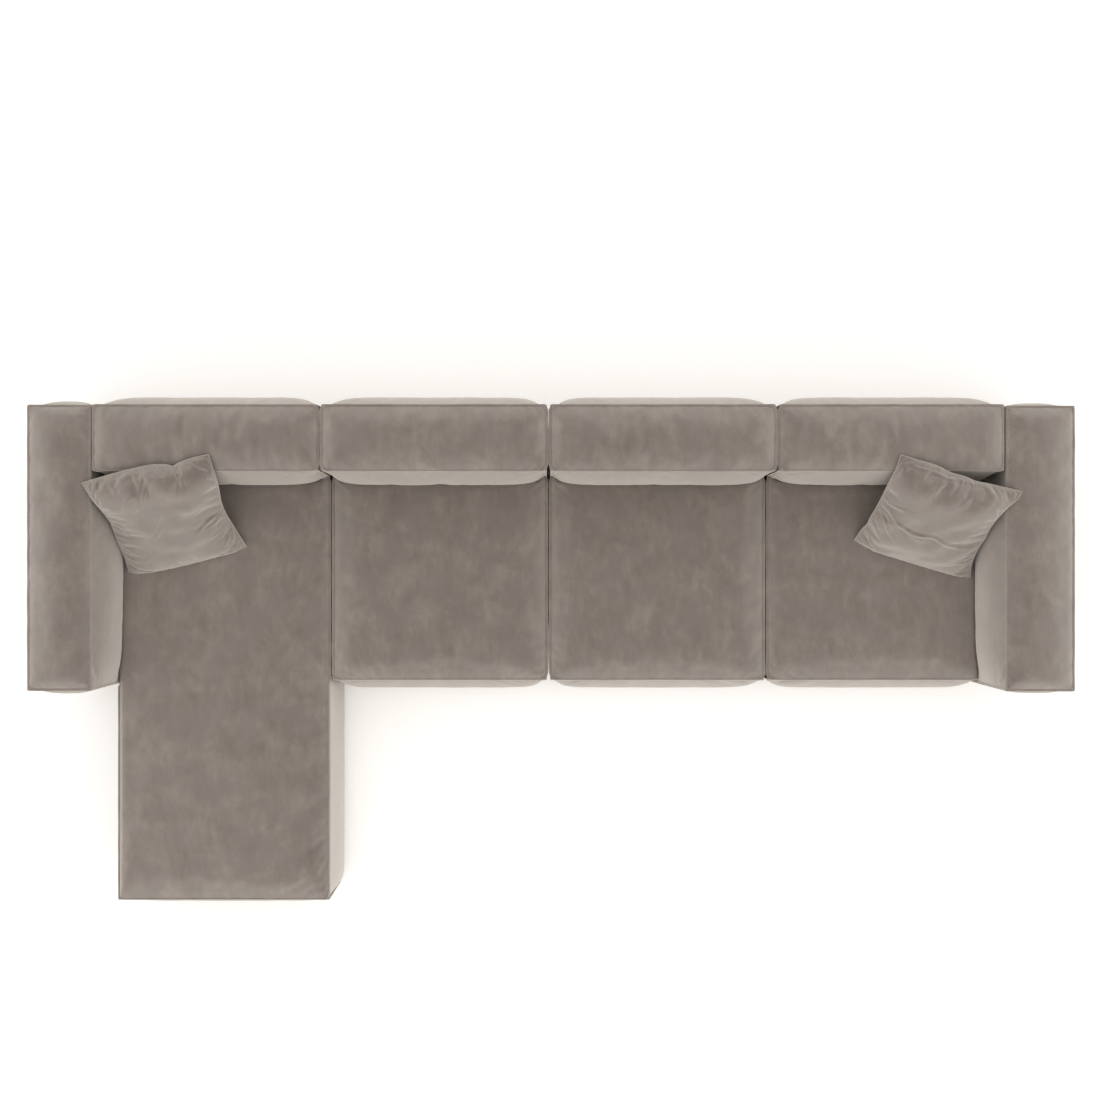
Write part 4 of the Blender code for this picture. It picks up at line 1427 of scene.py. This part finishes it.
RIGHT_FOLDS = (
    Fold(((-0.93, -0.10), (-0.77, -0.17), (-0.62, -0.30), (-0.48, -0.37)), 0.0045, 0.008),
    Fold(((-0.97, 0.20), (-0.85, 0.17), (-0.72, 0.20), (-0.53, 0.25)), 0.0045, 0.009),
    Fold(
        ((-0.83, 0.07), (-0.62, -0.05), (-0.32, -0.12), (0.02, -0.05), (0.44, -0.15), (0.76, -0.17)),
        0.0070, 0.011,
    ),
    Fold(((-0.91, -0.34), (-0.74, -0.48)), 0.0045, 0.008),
    Fold(((-0.88, -0.64), (-0.72, -0.85)), 0.0055, 0.008),
    Fold(((-0.44, -0.12), (-0.05, -0.20)), 0.0025, 0.012),
    Fold(((-0.88, 0.90), (-0.51, 0.90), (-0.17, 0.91), (0.10, 0.94), (0.42, 0.97)), 0.0040, 0.007),
    Fold(((-0.17, 0.91), (0.02, 0.79)), 0.0040, 0.014),
    Fold(((0.42, 0.97), (0.64, 0.81)), 0.0050, 0.014),
    Fold(((0.94, -0.34), (0.77, -0.55)), 0.0030, 0.010),
)


# Inside the covers


@dataclass
class FoamCore:
    """A block of cut foam: its section is carried along X, or along Y for an arm."""

    name: str
    body: str
    frame_node: str | None = None

    def section(self, axis: int) -> list[tuple[float, float]]:
        """The outline across the foam: a slab, with a slot for the frame where one stands in it."""
        low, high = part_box(self.name)
        a0, a1 = low[axis], high[axis]
        if self.frame_node is None:
            return [(a0, low.z), (a1, low.z), (a1, high.z), (a0, high.z)]
        frame_low, frame_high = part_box(self.frame_node)
        s0, s1, top = frame_low[axis] - FIT, frame_high[axis] + FIT, frame_high.z + FIT
        if a1 - s1 < THINNEST_FOAM:
            return [(a0, low.z), (s0, low.z), (s0, top), (a1, top), (a1, high.z), (a0, high.z)]
        if s0 - a0 < THINNEST_FOAM:
            return [(s1, low.z), (a1, low.z), (a1, high.z), (a0, high.z), (a0, top), (s1, top)]
        slot = [(s0, low.z), (s0, top), (s1, top), (s1, low.z)]
        return [(a0, low.z), *slot, (a1, low.z), (a1, high.z), (a0, high.z)]

    def build(self, foam: Material) -> list[Piece]:
        """Make the core in the CAD foam's place.

        Args:
            foam: Its material.

        Returns:
            The core.
        """
        low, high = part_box(self.name)
        axis = 0 if self.body.startswith("arm") else 1
        outline = np.array(self.section(axis))
        points = np.empty((2, len(outline), 3))
        points[..., axis], points[..., 2] = outline.T
        points[..., 1 - axis] = [[low[1 - axis]], [high[1 - axis]]]
        number = numbered(0, 2, len(outline))
        faces = number.tolist() + ring_faces(number)
        core = mesh_object(self.name + "_core", points.reshape(-1, 3), faces, foam)
        face_outward(core, 30)
        bevel = core.modifiers.new("wire cut edges", "BEVEL")
        bevel.width, bevel.segments, bevel.limit_method = 0.004, 3, "ANGLE"
        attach(core, self.body)
        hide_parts(self.name)
        return [core]


@dataclass
class StrapBed:
    """Elastic webbing over a base frame: straps both ways, woven over and under one another."""

    node: str
    body: str
    width: float = 0.060
    thickness: float = 0.0013
    pitch: float = 0.165
    lift: float = 0.0007

    def starts(self, low: float, high: float) -> Array:
        """Where each strap begins: evenly spread, about a pitch apart."""
        count = max(2, round((high - low - self.width) / self.pitch) + 1)
        return np.linspace(low, high - self.width, count)

    def build(self, webbing: Material) -> list[Piece]:
        """Make all straps as one piece.

        A strap's height follows a cosine that is high over one crossing and low at the next.

        Args:
            webbing: Their material.

        Returns:
            The straps.
        """
        low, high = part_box(self.node)
        middle = (low.z + high.z) / 2
        across = np.array([0.0, 1.0, 1.0, 0.0])
        over = np.array([-1.0, -1.0, 1.0, 1.0]) * self.thickness / 2
        points: list[Array] = []
        faces: list[Any] = []
        maps: list[Array] = []
        for way in (0, 1):
            other = 1 - way
            crossings = self.starts(low[other], high[other])
            run = np.linspace(low[other], high[other], 120)
            step = crossings[1] - crossings[0]
            for number, start in enumerate(self.starts(low[way], high[way])):
                turn = np.pi * (run - crossings[0] - self.width / 2) / step + np.pi * number + np.pi * way
                strap = np.empty((len(run), 4, 3))
                strap[..., way] = start + self.width * across
                strap[..., other] = run[:, None]
                strap[..., 2] = (middle + self.lift * np.clip(1.6 * np.cos(turn), -1, 1))[:, None] + over
                rings = numbered(sum(map(len, points)), len(run), 4)
                points.append(strap.reshape(-1, 3))
                faces += [*ring_faces(rings), rings[0].tolist(), rings[-1].tolist()]
                maps.append(np.stack([np.repeat(run, 4), np.tile(across, len(run))], axis=-1))
        straps = mesh_object(self.node + "_straps", np.concatenate(points), faces, webbing)
        corner = np.empty(len(straps.data.loops), int)
        straps.data.loops.foreach_get("vertex_index", corner)
        straps.data.uv_layers.new(name="strap").data.foreach_set("uv", np.concatenate(maps)[corner].ravel())
        face_outward(straps, 30)
        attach(straps, self.body)
        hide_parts(self.node)
        return [straps]


# The studio


@dataclass(frozen=True)
class Studio:
    """A white paper floor, an even pale sky and one large soft lamp, seen from straight above."""

    camera_at: tuple[float, float, float] = (0.0, 0.439, 6.717)
    lens_mm: float = 50.0
    sensor_mm: float = 36.0
    lamp_at: tuple[float, float, float] = (0.0, -0.6, 5.5)
    lamp_aim: tuple[float, float, float] = (0.0, 0.3, 0.3)
    lamp_size: tuple[float, float] = (6.0, 4.0)
    lamp_watts: float = 38.0
    floor_half: float = 40.0

    def build(self) -> None:
        """Make the floor, the light and the camera."""
        scene, half = bpy.context.scene, self.floor_half
        paper = np.array([(-half, -half, 0), (half, -half, 0), (half, half, 0), (-half, half, 0)])
        floor = mesh_object("floor", paper, [(0, 1, 2, 3)], StudioPaper().material())
        world = scene.world = bpy.data.worlds.new("pale studio")
        world.use_nodes = True
        tree = world.node_tree
        sky = tree.nodes["Background"]
        feed(tree, sky, {"Color": linear("#FFFDFA"), "Strength": 1.0})
        backdrop = add_node(tree, "Background", {"Color": linear("#FFFFFF"), "Strength": 1.0})
        both = add_node(tree, "MixShader", {0: seen_directly(tree), 1: sky.outputs[0], 2: backdrop.outputs[0]})
        feed(tree, tree.nodes["World Output"], {"Surface": both.outputs[0]})
        lamp = bpy.data.lights.new("overhead softbox", "AREA")
        lamp.shape = "RECTANGLE"
        lamp.size, lamp.size_y = self.lamp_size
        lamp.energy = self.lamp_watts
        lamp.color = (1.0, 0.985, 0.96)
        softbox = add_object("overhead softbox", lamp)
        softbox.location = self.lamp_at
        softbox.rotation_euler = (Vector(self.lamp_aim) - softbox.location).to_track_quat("-Z", "Y").to_euler()
        view = bpy.data.cameras.new("camera")
        view.lens, view.sensor_width = self.lens_mm, self.sensor_mm
        view.clip_end = 100.0
        scene.camera = add_object("camera", view)
        scene.camera.location = self.camera_at
        scene.view_settings.view_transform = "Standard"


@dataclass(frozen=True)
class Sofa:
    """The whole sofa: four modules, two arms and two throw pillows."""

    modules: tuple[str, ...] = ("chaise", "seat_2", "seat_3", "seat_4")
    arms: tuple[tuple[str, int], ...] = (("arm_left", -1), ("arm_right", 1))
    seat_size: tuple[float, tuple[int, int, int]] = (0.8505, (56, 56, 24))
    chaise_size: tuple[float, tuple[int, int, int]] = (1.7625, (56, 150, 24))

    def build(self, nodes: dict[str, Any]) -> None:
        """Build every piece and give the CAD pieces that stay their finishes.

        Args:
            nodes: The CAD nodes by name.
        """
        velvet = Velvet("taupe cotton velvet", "#746A64", "#7E746D", "#897F77", "#796F6C").material()
        pillow_velvet = Velvet("pillow velvet", "#716861", "#7B716A", "#867C74", "#776D69").material()
        foam, webbing = CutFoam().material(), ElasticWebbing().material()
        pine, zinc, plastic = Pine().material(), ZincPlate().material(), MouldedPlastic().material()
        pieces: list[Piece] = []
        for cell, name in enumerate(self.modules):
            front = CHAISE_FRONT if name == "chaise" else SEAT_FRONT
            reach, cells = self.chaise_size if name == "chaise" else self.seat_size
            pieces += seat_block(cell, name, reach, front, cells).build(velvet)
            pieces += back_block(cell, name).build(velvet)
            pieces += FoamCore(name + "_foam", name).build(foam)
            pieces += FoamCore(name + "_back_foam", name, name + "_back_frame").build(foam)
            pieces += StrapBed(name + "_webbing", name).build(webbing)
        for name, side in self.arms:
            pieces += arm_block(name, side).build(velvet)
            pieces += FoamCore(name + "_foam", name, name + "_frame").build(foam)
        for side, *shape in (("left", LEFT_EDGES, LEFT_FOLDS, 7), ("right", RIGHT_EDGES, RIGHT_FOLDS, 8)):
            pillow = ThrowPillow(f"{side}_pillow", f"pillow_{side}", f"{side}_throw_pillow", *shape)
            pieces += pillow.build(pillow_velvet)
        for piece in pieces:
            log.info("%s: %d faces", piece.name, len(piece.data.polygons))
        for name, node in nodes.items():
            finish = pine if "frame" in name else plastic if "skid" in name else zinc
            if not node.hide_render:
                node.data.materials.clear()
                node.data.materials.append(finish)


def main() -> None:
    """Load the CAD frame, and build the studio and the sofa."""
    logging.basicConfig(level=logging.INFO, format="%(name)s: %(message)s")
    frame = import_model()
    Studio().build()
    Sofa().build(frame["nodes"])


if __name__ == "__main__":
    main()
